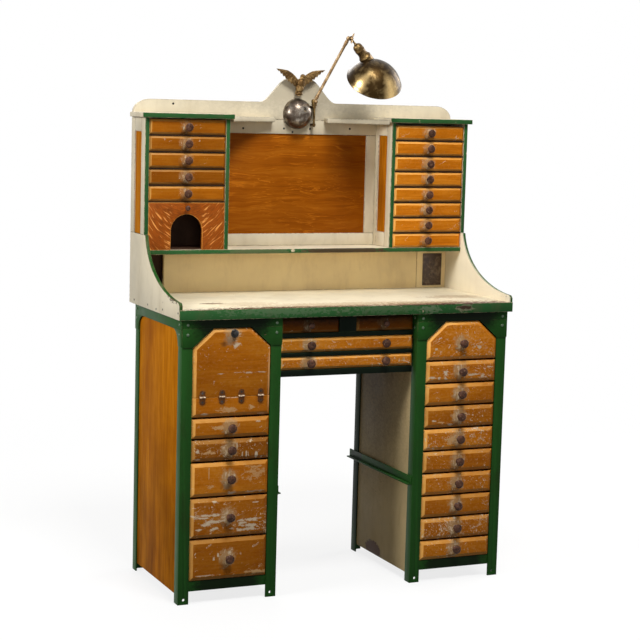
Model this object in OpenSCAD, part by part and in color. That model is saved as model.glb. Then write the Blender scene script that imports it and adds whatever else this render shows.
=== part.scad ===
// Watchmaker workbench: a steel-framed desk on two drawer pedestals, with a drawer unit over the
// kneehole, a hutch of small drawers behind the working surface and a swing-arm lamp on its crest.
// Millimetres. The floor is z = 0, the front looks towards -Y and x = 0 is the middle of the bench.

/* [Desk] */
// Width of the desk over its side boards
desk_w = 1220; // [1110:5:1400]
// Depth of the desk from its front edge to its rear edge
desk_d = 522; // [480:2:600]
// Height of the working surface
desk_h = 971; // [960:1:1010]
// Thickness of the desktop
desk_t = 33; // [24:1:36]
// How far the desktop stands out in front of the legs
desk_overhang = 13; // [8:1:30]
// How far the desktop stands out beyond the outer legs
desk_side_over = 15; // [10:1:20]
// How far the desktop stands out behind the rear legs
desk_rear_over = 31; // [25:1:45]
// Thickness of the green strips on the front edges
edge_t = 3; // [2:0.5:5]

/* [Pedestals] */
// Width of one pedestal over its legs
ped_w = 345; // [330:1:360]
// Width of each flange of the angle-iron legs
leg_w = 37; // [32:1:40]
// Thickness of the angle iron
leg_t = 4; // [3:0.5:5]
// Height of the bottom rails above the floor
rail_z = 42; // [30:1:43]
// Height of the bottom rails
rail_h = 33; // [20:1:34]
// Thickness of the side and back panels
panel_t = 6; // [4:0.5:7]
// Height of the panels' lower edge above the floor
panel_z = 28; // [15:1:40]
// Distance of the panels' upper edge below the desktop
panel_drop = 8; // [2:1:12]
// Clearance between the panels and the legs
panel_gap = 1; // [0.5:0.5:3]
// Diameter of the bolt hole in each front foot
foot_bolt_d = 9; // [6:0.5:11]
// Height of the foot bolt holes above the floor
foot_bolt_z = 16; // [12:1:24]
// Distance of the foot bolt holes from the pedestal's sides
foot_bolt_x = 20; // [12:1:28]

/* [Top plates] */
// Thickness of the riveted plates at the top of each pedestal
gusset_t = 2.5; // [1.5:0.1:3]
// Height of the plate above the octagonal opening
apron_h = 28; // [24:1:29]
// Width of the sloped corner of the octagonal opening
corner_w = 70; // [50:1:90]
// Height of the sloped corner of the octagonal opening
corner_h = 62; // [45:1:66]
// Height of the side plates between the legs
side_band_h = 35; // [25:1:45]
// Height of the side plates at the legs
side_drop = 88; // [70:1:120]
// Radius of the side plates' inner corners
side_corner_r = 50; // [20:1:52]
// Diameter of a rivet head
rivet_d = 10; // [7:0.5:12]
// Height of a rivet head
rivet_h = 2.4; // [1.5:0.1:3]
// Distance of the lower rivets below the desktop
corner_rivet_z = 48; // [45:1:70]
// Distance between the lower and the upper rivets
rivet_pitch = 32; // [20:1:35]
// How far the side plates end short of the flange's edge
plate_margin = 2; // [0:0.5:4]

/* [Stretchers] */
// Height of the stretchers' lower edge above the floor
stretcher_z = 345; // [250:1:450]
// Height of a stretcher's upright flange
stretcher_h = 30; // [20:1:40]
// Width of a stretcher's flat flange
stretcher_w = 15; // [10:1:25]
// How far a stretcher runs on behind the rear leg
stretcher_tail = 27; // [10:1:30]
// Distance of a stretcher's front end behind the front of the legs
stretcher_y = 5; // [2:1:20]
// How far the flat flange starts behind the front end
stretcher_nose = 7; // [0:1:15]

/* [Pedestal fronts] */
// Height of the lowest front's bottom edge
stack_z = 77; // [77:1:82]
// Gap between one front and the next
stack_gap = 6.5; // [6:0.5:7.5]
// Gap between the highest front and the plate above it
top_gap = 2; // [1.5:0.5:4]
// Clearance of a front at each side of its opening
side_gap = 1; // [0.7:0.1:2]
// Thickness of the drawer fronts
front_t = 18; // [16:1:20]
// How far the fronts stand out from the legs
front_proud = 4; // [3.5:0.5:6]
// Width of the slope round a front
bevel_w = 12; // [8:1:14]
// Depth of the slope round a front
bevel_d = 7; // [4:0.5:9]
// Heights of the left pedestal's drawer fronts, from the lowest
left_h1 = 135; // [120:1:140]
// Second left front
left_h2 = 131; // [115:1:135]
// Third left front
left_h3 = 111; // [95:1:115]
// Fourth left front
left_h4 = 69; // [60:1:75]
// Fifth left front
left_h5 = 64; // [55:1:70]
// Height of the fixed board under the flap
base_panel_h = 64; // [50:1:80]
// Height of the lowest front in the right pedestal
right_h1 = 65; // [55:1:70]
// Height of the other rectangular fronts in the right pedestal
right_h = 72; // [65:1:73]
// Height of the top right drawer's knob above its front's lower edge
top_knob_z = 56; // [45:1:65]

/* [Drawer boxes] */
// Thickness of the drawer sides and backs
board_t = 10; // [8:0.5:12]
// Thickness of the drawer bottoms
bottom_t = 5; // [4:0.5:6]
// Clearance behind the pedestal drawer boxes
box_rear_gap = 13; // [5:1:40]
// Distance of a pedestal drawer box's upper edge below its front's upper edge
box_drop = 6; // [4:0.5:12]
// Distance of the top right drawer's box below the cut corners
box_corner_drop = 3; // [1:0.5:8]
// Clearance of a pedestal drawer box at each side of its opening
box_side_gap = 2; // [1.5:0.1:3]
// Height of the runners that carry the pedestal drawers
runner_h = 8; // [6:0.5:8.5]
// How far a runner reaches under a drawer box
runner_reach = 9; // [6:0.5:12]
// Running clearance between a drawer and what carries it
run_gap = 0.4; // [0.3:0.05:0.6]

/* [Knobs] */
// Diameter of the knobs on the pedestals and the wide drawers
knob_d = 32; // [24:1:36]
// Length of the knobs on the pedestals and the wide drawers
knob_len = 24; // [18:1:28]
// Diameter of the knobs on the small drawers over the kneehole
small_knob_d = 22; // [16:1:28]
// Length of the knobs on the small drawers over the kneehole
small_knob_len = 17; // [12:1:22]
// Diameter of the hutch knobs
hutch_knob_d = 30; // [20:1:34]
// Length of the hutch knobs
hutch_knob_len = 19; // [14:1:24]
// Diameter of the arched tray's knob
tray_knob_d = 18; // [12:1:24]
// Length of the arched tray's knob
tray_knob_len = 15; // [10:1:20]
// Distance of the arched tray's knob below its front's upper edge
tray_knob_drop = 18; // [14:1:24]

/* [Flap] */
// Pitch of the four flap hinges
hinge_pitch = 67.5; // [50:0.5:72]
// Width of a hinge
hinge_w = 20; // [16:1:26]
// Height of one hinge leaf
hinge_leaf_h = 21; // [14:1:26]
// Thickness of a hinge leaf
hinge_leaf_t = 1.2; // [0.8:0.1:1.5]
// Diameter of the hinge knuckles
hinge_knuckle_d = 5.6; // [4.5:0.1:6.5]
// Diameter of the hinge pins
hinge_pin_d = 2.4; // [1.8:0.1:2.8]
// Diameter of the round turn latch
latch_d = 27; // [20:1:34]
// Distance of the latch below the flap's top edge
latch_drop = 17; // [15:1:30]
// Sideways place of the latch from the middle of the flap
latch_x = 6; // [-20:1:20]
// Diameter of the latch spindle
latch_spindle_d = 8; // [6:0.5:10]
// Thickness of the floor behind the flap
flap_floor_t = 8; // [5:1:12]

/* [Drawer unit over the kneehole] */
// How far the unit's fronts stand behind the front of the legs
centre_recess = 22; // [12:1:30]
// Gap between the small drawers' opening and the desktop
centre_top_gap = 5; // [3:1:8]
// Height of the small drawers' opening
small_row_h = 53; // [45:1:60]
// Height of the upper wide drawer's opening
wide_row_h = 50; // [42:1:56]
// Height of the lower wide drawer's opening
low_row_h = 45; // [38:1:52]
// Height of the rail under the small drawers
rail_1_h = 15; // [12:1:18]
// Height of the rail between the wide drawers
rail_2_h = 13; // [11:1:18]
// Height of the lowest rail
rail_3_h = 21; // [14:1:24]
// Width of the block between the small drawers
block_w = 62; // [40:1:80]
// Clearance round the fronts of this unit
centre_gap = 1; // [0.7:0.1:1.5]
// Width of the slope round this unit's fronts
centre_bevel_w = 9; // [6:1:12]
// How far the rails stand behind the fronts
rail_recess = 2; // [1:0.5:6]
// Distance of the unit's back board in front of the desk's rear edge
unit_rear = 49; // [45:1:90]
// Clearance behind this unit's drawer boxes
centre_box_gap = 20; // [5:1:40]
// Height that this unit's drawer boxes lack against their openings
centre_box_drop = 8; // [6:0.5:14]
// Thickness of the boards that carry this unit's drawers
unit_board_t = 8; // [6:1:11]
// Distance of each wide drawer's knobs from the middle
wide_knob_x = 138; // [100:1:170]

/* [Side boards] */
// Thickness of the side boards
side_board_t = 12; // [10:1:16]
// Height of the side boards' rear part above the desktop
side_board_h = 211; // [190:1:230]
// Height of the side boards' nose above the desktop
nose_h = 23; // [15:1:30]
// How far the hollow curve falls below its rear end before it turns forward
curve_drop = 122; // [100:1:140]
// How far the hollow curve reaches back level from the nose
curve_run = 152; // [120:1:170]
// Distance of the curve's upper end in front of the hutch
curve_front = 12; // [5:1:20]
// Radius of the eased tip of the nose
nose_r = 9; // [4:1:14]

/* [Hutch] */
// Depth of the hutch
hutch_d = 151; // [140:1:170]
// Height of the hutch shelf's upper face above the desktop
shelf_h = 159; // [150:1:170]
// Thickness of the hutch shelf
shelf_t = 15; // [12:1:18]
// Width of one hutch cabinet
cabinet_w = 302; // [290:1:310]
// Height of the cabinets above the shelf
cabinet_h = 445; // [443:1:470]
// Thickness of the cabinet walls
wall_t = 14; // [12:1:16]
// Thickness of the cap boards
cap_t = 16; // [12:1:20]
// Overhang of the cap boards at the front and sides
cap_over = 12; // [6:1:16]
// Gap between one hutch drawer front and the next
hutch_gap = 5; // [4:0.5:6]
// Thickness of the hutch drawer fronts
hutch_front_t = 12; // [12:1:14]
// Clearance of the hutch fronts at each side
hutch_side_gap = 1; // [0.7:0.1:1.5]
// Width of the slope round a hutch front
hutch_bevel_w = 8; // [5:0.5:9]
// Depth of the slope round a hutch front
hutch_bevel_d = 5; // [3:0.5:7]
// Thickness of the hutch drawer boards
hutch_board_t = 6; // [5:0.5:8]
// Thickness of the hutch drawer bottoms
hutch_bottom_t = 3; // [2.5:0.5:4]
// Length of the hutch drawer boxes
hutch_box_d = 118; // [100:1:120]
// Height that the hutch drawer boxes lack against their fronts
hutch_box_drop = 4; // [3:0.5:8]
// Height that the arched tray's box lacks against its front
tray_box_drop = 5; // [3:0.5:10]
// Height of the left hutch drawers
hutch_left_h = 51; // [45:0.5:51]
// Height of the right hutch drawers
hutch_right_h = 49.9; // [44:0.1:50]
// Height of the arched tray's front
arch_front_h = 160; // [140:1:160]
// Width of the arch
arch_w = 113; // [90:1:130]
// Height of the arch above the lower edge of its front
arch_h = 121; // [100:1:125]
// Width of the varnished inset in a cabinet side
inset_w = 70; // [50:1:80]
// Distance of the inset from the front of the cabinet
inset_y = 42; // [30:1:50]
// Height of the frame above the inset
inset_top = 48; // [30:1:60]
// How far the insets lie below both faces of the cabinet's side
inset_recess = 4; // [2:0.5:5]
// Thickness of the cabinets' backs
hutch_back_t = 6; // [4:0.5:8]

/* [Back of the hutch] */
// Thickness of the back frame and crest
crest_t = 16; // [12:1:18]
// Height of the crest above the cabinets, away from its hump
crest_h = 61; // [50:1:80]
// Extra height of the hump in the middle of the crest
hump_h = 84; // [50:1:110]
// Half width of the hump's flat top
hump_flat = 40; // [25:1:50]
// Width of the hump's flank
hump_flank = 105; // [80:1:130]
// Width of the rounded ends of the crest
crest_end_w = 62; // [40:1:80]
// Height of the frame's header
header_h = 50; // [40:1:60]
// Width of the frame's stiles
stile_w = 38; // [30:1:50]
// Height of the frame's bottom rail
back_rail_h = 43; // [30:1:60]
// Thickness of the wood-grain panel
centre_panel_t = 8; // [6:1:10]
// How far the panel lies behind the frame's face
centre_panel_recess = 4; // [2:0.5:6]
// Distance of the corner shelves' inner ends from the middle of the bench
corner_shelf_x = 100; // [70:1:140]
// Depth of a corner shelf at its inner end
corner_shelf_d = 30; // [20:1:60]
// How far the corner shelves lie below the cap boards
corner_shelf_drop = 8; // [4:1:12]
// Distance of the lower back board in front of the rear
lower_back_y = 39; // [30:1:60]
// Thickness of the lower back board
lower_back_t = 12; // [8:1:14]
// Width of the open recess at the left of the lower back board
recess_w = 98; // [60:1:120]
// Width of the outlet board at the right
outlet_board_w = 119; // [100:1:140]
// Width of the outlet plate
outlet_w = 77; // [70:1:90]
// Height of the outlet plate
outlet_h = 118; // [110:1:125]
// Thickness of the outlet plate
outlet_t = 4; // [3:0.5:6]
// Diameter of each outlet face
outlet_face_d = 34; // [30:1:38]
// Distance between the two outlet faces
outlet_pitch = 38; // [36:1:42]
// Height of the outlet plate above the desktop
outlet_lift = 9; // [4:1:16]
// How far the outlet plate lies to the right of its board's middle
outlet_shift = 3; // [0:1:8]

/* [Lamp] */
// Diameter of the wall canopy
canopy_d = 108; // [90:1:110]
// Sideways place of the wall canopy
canopy_x = -5; // [-15:1:-4]
// Depth of the wall canopy
canopy_depth = 50; // [30:1:60]
// Wall thickness of the canopy
canopy_wall = 2; // [1:0.5:3]
// Height of the canopy's middle above the cabinets
canopy_z = 22; // [15:1:30]
// Sideways place of the swivel pin
pivot_x = 51; // [50:1:65]
// Distance of the swivel pin in front of the back frame
pivot_y = 23; // [18:1:30]
// Diameter of the swivel pin
pivot_d = 8; // [6:0.5:10]
// Running clearance of the lamp's pins, on the radius
pivot_gap = 0.1; // [0.05:0.01:0.1]
// Height of the lower lug's middle above the cabinets
lug_z = -15; // [-18:1:-10]
// Distance from the lower lug to the upper one
lug_pitch = 62; // [60:1:66]
// Thickness of a lug
lug_h = 8; // [6:0.5:8]
// Height of the arm's lower pivot above the cabinets
arm_pivot_z = 67; // [66:1:80]
// Length of the arm between its two pivots
arm_len = 268; // [220:1:290]
// Diameter of the arm
arm_d = 11; // [8:0.5:14]
// Direction that the arm leans to, from +X
arm_az = -67; // [-90:1:-50]
// Slope of the arm above level
arm_el = 55; // [50:1:65]
// Diameter of the pins at the arm's two ends
knuckle_pin_d = 6; // [5:0.5:7]
// Clear width of the swivel's fork
fork_gap = 9; // [8:0.5:12]
// Thickness of each cheek of the fork
fork_t = 4; // [3:0.5:5]
// Radius of the fork's cheeks and of the eyes between them
fork_r = 8; // [7:0.5:9]
// Distance of the socket's eye from the arm, along the elbow pin
eye_off = 15; // [14:0.5:20]
// Thickness of the socket's eye
eye_t = 7; // [5:0.5:9]
// Direction that the lamp head leans to, from +X
head_az = 10; // [5:1:20]
// Slope of the lamp head below level
head_dip = 45; // [40:1:50]
// Length from the elbow to the shade, along the socket
head_len = 97; // [92:1:105]
// Diameter of the socket
socket_d = 34; // [30:1:40]
// Wall thickness of the socket
socket_wall = 1.5; // [1:0.1:3]
// Outer radius of the shade's bowl
shade_r = 102; // [92:0.5:106]
// Height of the shade from its rim to its crown
shade_h = 70; // [60:1:80]
// Wall thickness of the shade
shade_wall = 1; // [0.8:0.1:2]
// Direction from the socket's end to the middle of the bowl, from +X
bowl_az = 1; // [-10:1:10]
// Slope of that direction below level
bowl_dip = 76; // [70:1:80]
// Direction that the shade opens to, from +X
shade_az = 84; // [60:1:90]
// Slope of the shade's opening direction
shade_el = -50; // [-60:1:-40]
// Diameter of the bulb
bulb_d = 46; // [35:1:50]
// Length of the bulb's glass
bulb_len = 64; // [50:1:66]

/* [Finial] */
// Height of the bird's base above the middle of the canopy
bird_z = 63; // [62:1:75]
// Span of the bird's wings
bird_span = 188; // [150:1:200]
// Rise of the wing tips above the base
bird_rise = 91; // [70:1:95]

/* [Hidden] */
left_count = 5;
right_count = 10;
hutch_left_count = 5;
hutch_right_count = 8;

function numbered(stem, count) = [for (i = [1:count]) str(stem, i)];

// Glue line between boards of one node, so that each board stays a plain solid of its own
glue = 0.2;
// Allowance by which a cutting solid overshoots what it cuts
over = 1;

green = "#1f5a38";
cream = "#e4d9bd";
varnish = "#c8862c";
raw_wood = "#a8784a";
steel = "#77756e";
brass = "#a98646";

// Depth: the knobs' tips and the rear edge lie equally far from y = 0
leg_y = -(desk_d - desk_overhang - front_proud - knob_len) / 2;
desk_y = leg_y - desk_overhang;
back_y = desk_y + desk_d;
leg_back_y = back_y - desk_rear_over;
ped_d = leg_back_y - leg_y;
frame_top = desk_h - desk_t;
side_in_x = desk_w / 2 - side_board_t;

ped_x = (desk_w - ped_w) / 2 - desk_side_over;
knee_w = 2 * ped_x - ped_w;
opening_w = ped_w - 2 * leg_w;
front_w = opening_w - 2 * side_gap;
face_y = leg_y - front_proud;
front_back_y = face_y + front_t;
stack_top = frame_top - apron_h - top_gap;
panel_in_x = ped_w / 2 - leg_t - panel_t;
panel_y0 = leg_y + 2 * leg_t + panel_gap;
panel_y1 = leg_back_y - 2 * leg_t - panel_gap;
panel_top = frame_top - panel_drop;
ped_box_w = opening_w - 2 * box_side_gap;
ped_box_d = panel_y1 - panel_t - box_rear_gap - front_back_y;

left_heights = [left_h1, left_h2, left_h3, left_h4, left_h5];
right_heights = concat([right_h1], [for (i = [2:right_count - 1]) right_h]);

// Lower edge of the front number i, counted from 0, in a stack of the given heights
function stack_base(heights, gap, i) = i == 0 ? 0 : stack_base(heights, gap, i - 1) + heights[i - 1] + gap;

base_panel_z = stack_z + stack_base(left_heights, stack_gap, left_count);
hinge_clear = 0.5;
hinge_z = base_panel_z + base_panel_h + hinge_clear;
flap_z = hinge_z + hinge_clear;
flap_h = stack_top - flap_z;
hinge_y = face_y - hinge_knuckle_d / 2 - glue;
function hinge_x(i) = -ped_x + (i - 1.5) * hinge_pitch;
knuckle_l = hinge_w / 3;
knuckle_end_gap = 0.3;
pin_fit = 0.2;
leaf_step = hinge_knuckle_d / 2 + 3 * glue;
latch_z = stack_top - latch_drop;
right_top_z = stack_z + stack_base(right_heights, stack_gap, right_count - 1);
right_top_h = stack_top - right_top_z;

centre_y = leg_y + centre_recess;
small_z1 = frame_top - centre_top_gap;
small_z0 = small_z1 - small_row_h;
wide_z1 = small_z0 - rail_1_h;
wide_z0 = wide_z1 - wide_row_h;
low_z1 = wide_z0 - rail_2_h;
low_z0 = low_z1 - low_row_h;
unit_z0 = low_z0 - rail_3_h;
unit_half_w = knee_w / 2 - gusset_t - rivet_h - 3 * glue;
unit_front_half = unit_half_w - centre_gap / 2;
unit_rail_y = centre_y + rail_recess;
unit_back_y = back_y - unit_rear;
centre_box_d = unit_back_y - centre_box_gap - centre_y - front_t;
centre_box_side = 2;
small_front_w = unit_front_half - block_w / 2 - centre_gap;
small_front_x = block_w / 2 + centre_gap + small_front_w / 2;

hutch_y = back_y - hutch_d;
shelf_top = desk_h + shelf_h;
cabinet_top = shelf_top + cabinet_h;
cap_top = cabinet_top + cap_t;
crest_y = back_y - crest_t;
hutch_open_w = cabinet_w - 2 * wall_t;
hutch_front_w = hutch_open_w - 2 * hutch_side_gap;
cabinet_x = desk_w / 2 - cabinet_w / 2;
cabinet_in_x = desk_w / 2 - cabinet_w;
side_board_top = desk_h + side_board_h;
inset_t = wall_t - 2 * inset_recess;
inset_z = side_board_top + glue;
inset_h = cabinet_top - inset_top - inset_z;
inset_places = [desk_w / 2 - inset_recess - inset_t, cabinet_in_x + inset_recess];
case_y0 = hutch_y + edge_t;
case_y1 = back_y;
divider_t = hutch_gap - 2 * run_gap;
hutch_left_heights = concat([arch_front_h], [for (i = [1:hutch_left_count]) hutch_left_h]);
hutch_right_heights = [for (i = [1:hutch_right_count]) hutch_right_h];

lower_back_front = back_y - lower_back_y;
recess_x = recess_w - side_in_x;
outlet_seam_x = side_in_x - outlet_board_w;
outlet_x = side_in_x - outlet_board_w / 2 + outlet_shift;
outlet_z = desk_h + outlet_lift + outlet_h / 2;

lamp_z = cabinet_top + canopy_z;
pivot_pos = [pivot_x, crest_y - pivot_y, cabinet_top + arm_pivot_z];
function direction(az, el) = [cos(az) * cos(el), sin(az) * cos(el), sin(el)];
elbow_pos = pivot_pos + arm_len * direction(arm_az, arm_el);
elbow_pin_dir = direction(head_az - 90, 0);
knuckle_gap = 0.4;
knuckle_bore = knuckle_pin_d + 2 * pivot_gap;
arm_eye_gap = 0.3;
arm_eye_t = fork_gap - 2 * arm_eye_gap;
head_dir = direction(head_az, -head_dip);
head_pos = elbow_pos + eye_off * elbow_pin_dir;
shade_neck = head_pos + head_len * head_dir;
shade_centre = shade_neck + shade_r * direction(bowl_az, -bowl_dip);
// Radius of the bowl's hole, its clearance round the socket, and radius of the bulb's screw base
neck_r = 15;
shade_gap = 0.3;
bulb_base_r = 12.5;

// Front with a sloped edge all round: its face lies at y = 0, its lower edge at z = 0, its middle at x = 0
module bevelled_front(w, h, t, slope_w, slope_d, low_slope = true, top_slope = true) {
    low_w = low_slope ? slope_w : 0;
    low_d = low_slope ? slope_d : 0;
    top_w = top_slope ? slope_w : 0;
    top_d = top_slope ? slope_d : 0;
    intersection() {
        translate([-w / 2, 0, 0]) rotate([90, 0, 90]) linear_extrude(w)
            polygon([[0, low_w], [0, h - top_w], [top_d, h], [t, h], [t, 0], [low_d, 0]]);
        linear_extrude(h) polygon([
            [-w / 2 + slope_w, 0], [w / 2 - slope_w, 0], [w / 2, slope_d],
            [w / 2, t], [-w / 2, t], [-w / 2, slope_d]
        ]);
    }
}

// Half space below one cut corner, with the same slope along it
module corner_slope(side, w, h, t, slope_w, slope_d, cut_w, cut_h) {
    reach = w + h;
    translate([side * (w / 2 - cut_w / 2), 0, h - cut_h / 2])
        rotate([0, side * atan2(cut_h, cut_w), 0])
            translate([-reach, 0, 0]) rotate([90, 0, 90]) linear_extrude(2 * reach)
                polygon([[0, -slope_w], [slope_d, 0], [t, 0], [t, -reach], [0, -reach]]);
}

// Octagonal front: both cut corners are taken off one after the other
module octagon_front(w, h, t, slope_w, slope_d, cut_w, cut_h, low_slope) {
    intersection() {
        bevelled_front(w, h, t, slope_w, slope_d, low_slope = low_slope);
        corner_slope(-1, w, h, t, slope_w, slope_d, cut_w, cut_h);
        corner_slope(1, w, h, t, slope_w, slope_d, cut_w, cut_h);
    }
}

// Turned knob on the face at y = 0, with a slim neck under a rounded head
module knob(d, len) {
    r = d / 2;
    head_mid = 0.7 * len;
    head_half = len - head_mid;
    head = [for (a = [-60:15:90]) [r * cos(a), head_mid + head_half * sin(a)]];
    translate([0, -glue, 0]) rotate([90, 0, 0]) rotate_extrude($fn = 48)
        polygon(concat([[0, 0], [0.56 * r, 0], [0.42 * r, 0.25 * len]], head));
}

// Open box of four boards behind a front: y = 0 is the back of the front and z = 0 its underside
module drawer_box(w, d, h, side_t, base_t) {
    translate([-w / 2, glue, 0]) cube([w, d - glue, base_t]);
    for (side = [-1, 1]) {
        translate([side * (w - side_t) / 2 - side_t / 2, glue, base_t + glue])
            cube([side_t, d - glue, h - base_t - glue]);
    }
    translate([-w / 2 + side_t + glue, d - side_t, base_t + glue])
        cube([w - 2 * side_t - 2 * glue, side_t, h - base_t - glue]);
}

// One pedestal drawer, given its pedestal's middle, its lower edge and its height
module pedestal_drawer(x, z, h) {
    translate([x, face_y, z]) {
        color(varnish) bevelled_front(front_w, h, front_t, bevel_w, bevel_d);
        color(raw_wood) knob_at(h / 2, knob_d, knob_len);
        color(raw_wood) translate([0, front_t, runner_h])
            drawer_box(ped_box_w, ped_box_d, h - runner_h - box_drop, board_t, bottom_t);
    }
}

module knob_at(z, d, len) {
    translate([0, 0, z]) knob(d, len);
}

module left_drawer(i) {
    pedestal_drawer(-ped_x, stack_z + stack_base(left_heights, stack_gap, i - 1), left_heights[i - 1]);
}

module right_drawer(i) {
    if (i < right_count) {
        pedestal_drawer(ped_x, stack_z + stack_base(right_heights, stack_gap, i - 1), right_heights[i - 1]);
    } else {
        translate([ped_x, face_y, right_top_z]) {
            color(varnish)
                octagon_front(front_w, right_top_h, front_t, bevel_w, bevel_d, corner_w, corner_h, true);
            color(raw_wood) knob_at(top_knob_z, knob_d, knob_len);
            box_h = right_top_h - corner_h - box_corner_drop - runner_h;
            color(raw_wood) translate([0, front_t, runner_h])
                drawer_box(ped_box_w, ped_box_d, box_h, board_t, bottom_t);
        }
    }
}

// A drawer over the kneehole: the front's middle, lower edge and size, and the places of its knobs
module centre_drawer(x, z, w, h, knobs, d, len) {
    translate([x, centre_y, z]) {
        color(varnish) translate([0, 0, centre_gap])
            bevelled_front(w, h - 2 * centre_gap, front_t, centre_bevel_w, bevel_d);
        for (kx = knobs) {
            color(raw_wood) translate([kx, 0, h / 2]) knob(d, len);
        }
        color(raw_wood) translate([0, front_t, run_gap])
            drawer_box(w - 2 * centre_box_side, centre_box_d, h - centre_box_drop, board_t, bottom_t);
    }
}

module small_drawer(side) {
    x = side * small_front_x;
    centre_drawer(x, small_z0, small_front_w, small_row_h, [0], small_knob_d, small_knob_len);
}

module wide_drawer(z, h) {
    centre_drawer(0, z, 2 * unit_front_half, h, [-wide_knob_x, wide_knob_x], knob_d, knob_len);
}

// A hutch drawer: its cabinet's side, lower edge and height
module hutch_drawer(side, z, h) {
    translate([side * cabinet_x, hutch_y, z]) {
        color(varnish) bevelled_front(hutch_front_w, h, hutch_front_t, hutch_bevel_w, hutch_bevel_d);
        color(raw_wood) knob_at(h / 2, hutch_knob_d, hutch_knob_len);
        color(raw_wood) translate([0, hutch_front_t, 0])
            drawer_box(hutch_front_w, hutch_box_d, h - hutch_box_drop, hutch_board_t, hutch_bottom_t);
    }
}

function hutch_stack_z(heights, i) = shelf_top + run_gap + stack_base(heights, hutch_gap, i);

module hutch_left_drawer(i) {
    hutch_drawer(-1, hutch_stack_z(hutch_left_heights, i), hutch_left_h);
}

module hutch_right_drawer(i) {
    hutch_drawer(1, hutch_stack_z(hutch_right_heights, i - 1), hutch_right_h);
}

// Pull-out tray behind a front with an arched doorway that is open at the bottom
module hutch_arched_tray() {
    spring = arch_h - arch_w / 2;
    translate([-cabinet_x, hutch_y, shelf_top + run_gap]) {
        color(varnish) difference() {
            translate([-hutch_front_w / 2, 0, 0]) cube([hutch_front_w, hutch_front_t, arch_front_h]);
            translate([-arch_w / 2, -over, -over]) cube([arch_w, hutch_front_t + 2 * over, spring + over]);
            translate([0, -over, spring]) rotate([-90, 0, 0])
                cylinder(d = arch_w, h = hutch_front_t + 2 * over, $fn = 96);
        }
        box_h = arch_front_h - tray_box_drop;
        color(raw_wood) knob_at(arch_front_h - tray_knob_drop, tray_knob_d, tray_knob_len);
        color(raw_wood) translate([0, hutch_front_t, 0])
            drawer_box(hutch_front_w, hutch_box_d, box_h, hutch_board_t, hutch_bottom_t);
    }
}

// One angle-iron leg with its corner at the origin and its flanges along +X and +Y
module angle_leg(bolted) {
    difference() {
        linear_extrude(frame_top)
            polygon([[0, 0], [leg_w, 0], [leg_w, leg_t], [leg_t, leg_t], [leg_t, leg_w], [0, leg_w]]);
        if (bolted) {
            translate([foot_bolt_x, -over, foot_bolt_z]) rotate([-90, 0, 0])
                cylinder(d = foot_bolt_d, h = leg_t + 2 * over, $fn = 32);
        }
    }
}

// Legs, rails and the kneehole stretcher of one pedestal, drawn for the right one
module pedestal_frame() {
    x0 = knee_w / 2;
    for (mx = [0, 1]) {
        for (my = [0, 1]) {
            translate([mx == 0 ? x0 : x0 + ped_w, my == 0 ? leg_y : leg_back_y, 0])
                mirror([mx, 0, 0]) mirror([0, my, 0]) angle_leg(my == 0);
        }
    }
    rail_w = ped_w - 2 * leg_t - 2 * glue;
    top_rail_h = apron_h - top_gap;
    for (y = [leg_y + leg_t + glue, leg_back_y - 2 * leg_t - glue]) {
        translate([x0 + leg_t + glue, y, rail_z]) cube([rail_w, leg_t, rail_h]);
        translate([x0 + leg_t + glue, y, frame_top - top_rail_h]) cube([rail_w, leg_t, top_rail_h]);
    }
    stretcher_l = ped_d - stretcher_y + stretcher_tail;
    translate([x0 - glue - leg_t, leg_y + stretcher_y, stretcher_z])
        cube([leg_t, stretcher_l, stretcher_h]);
    translate([x0 - 2 * glue - stretcher_w, leg_y + stretcher_y + stretcher_nose, stretcher_z])
        cube([stretcher_w - leg_t, stretcher_l - stretcher_nose, leg_t]);
}

module pedestal_frames() {
    color(green) both_sides() pedestal_frame();
}

// The children and their mirror image in the middle plane of the bench
module both_sides() {
    children();
    mirror([1, 0, 0]) children();
}

// Rivet head on a face that looks along -Y at y = 0
module rivet() {
    translate([0, -glue, 0]) rotate([90, 0, 0])
        cylinder(d1 = rivet_d, d2 = rivet_d * 0.6, h = rivet_h, $fn = 24);
}

// Riveted plate round the octagonal opening, drawn in its own pedestal's middle plane
module front_plate() {
    half = ped_w / 2;
    inner = opening_w / 2;
    apron_z = frame_top - apron_h;
    translate([0, leg_y - glue, 0]) rotate([90, 0, 0]) linear_extrude(gusset_t) {
        translate([-half, apron_z + glue]) square([ped_w, apron_h - glue]);
        for (side = [-1, 1]) polygon([
            [side * half, apron_z], [side * half, apron_z - corner_h],
            [side * inner, apron_z - corner_h], [side * (inner - corner_w), apron_z]
        ]);
    }
    for (side = [-1, 1]) {
        for (z = [corner_rivet_z, corner_rivet_z - rivet_pitch]) {
            translate([side * (half - leg_w / 2), leg_y - glue - gusset_t, frame_top - z]) rivet();
        }
    }
}

// Side plate with rounded inner corners: drawn flat, x along the depth and y up
module side_plate() {
    r = side_corner_r;
    foot = leg_w - plate_margin;
    translate([0, frame_top - side_band_h + glue]) square([ped_d, side_band_h - glue]);
    for (end = [0, 1]) {
        translate([end * ped_d, 0]) mirror([end, 0]) difference() {
            translate([0, frame_top - side_drop]) square([foot + r, side_drop - side_band_h]);
            translate([foot + r, frame_top - side_band_h - r]) circle(r = r, $fn = 64);
            translate([foot, frame_top - side_drop - over])
                square([r + over, side_drop - side_band_h - r + over]);
        }
    }
}

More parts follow.
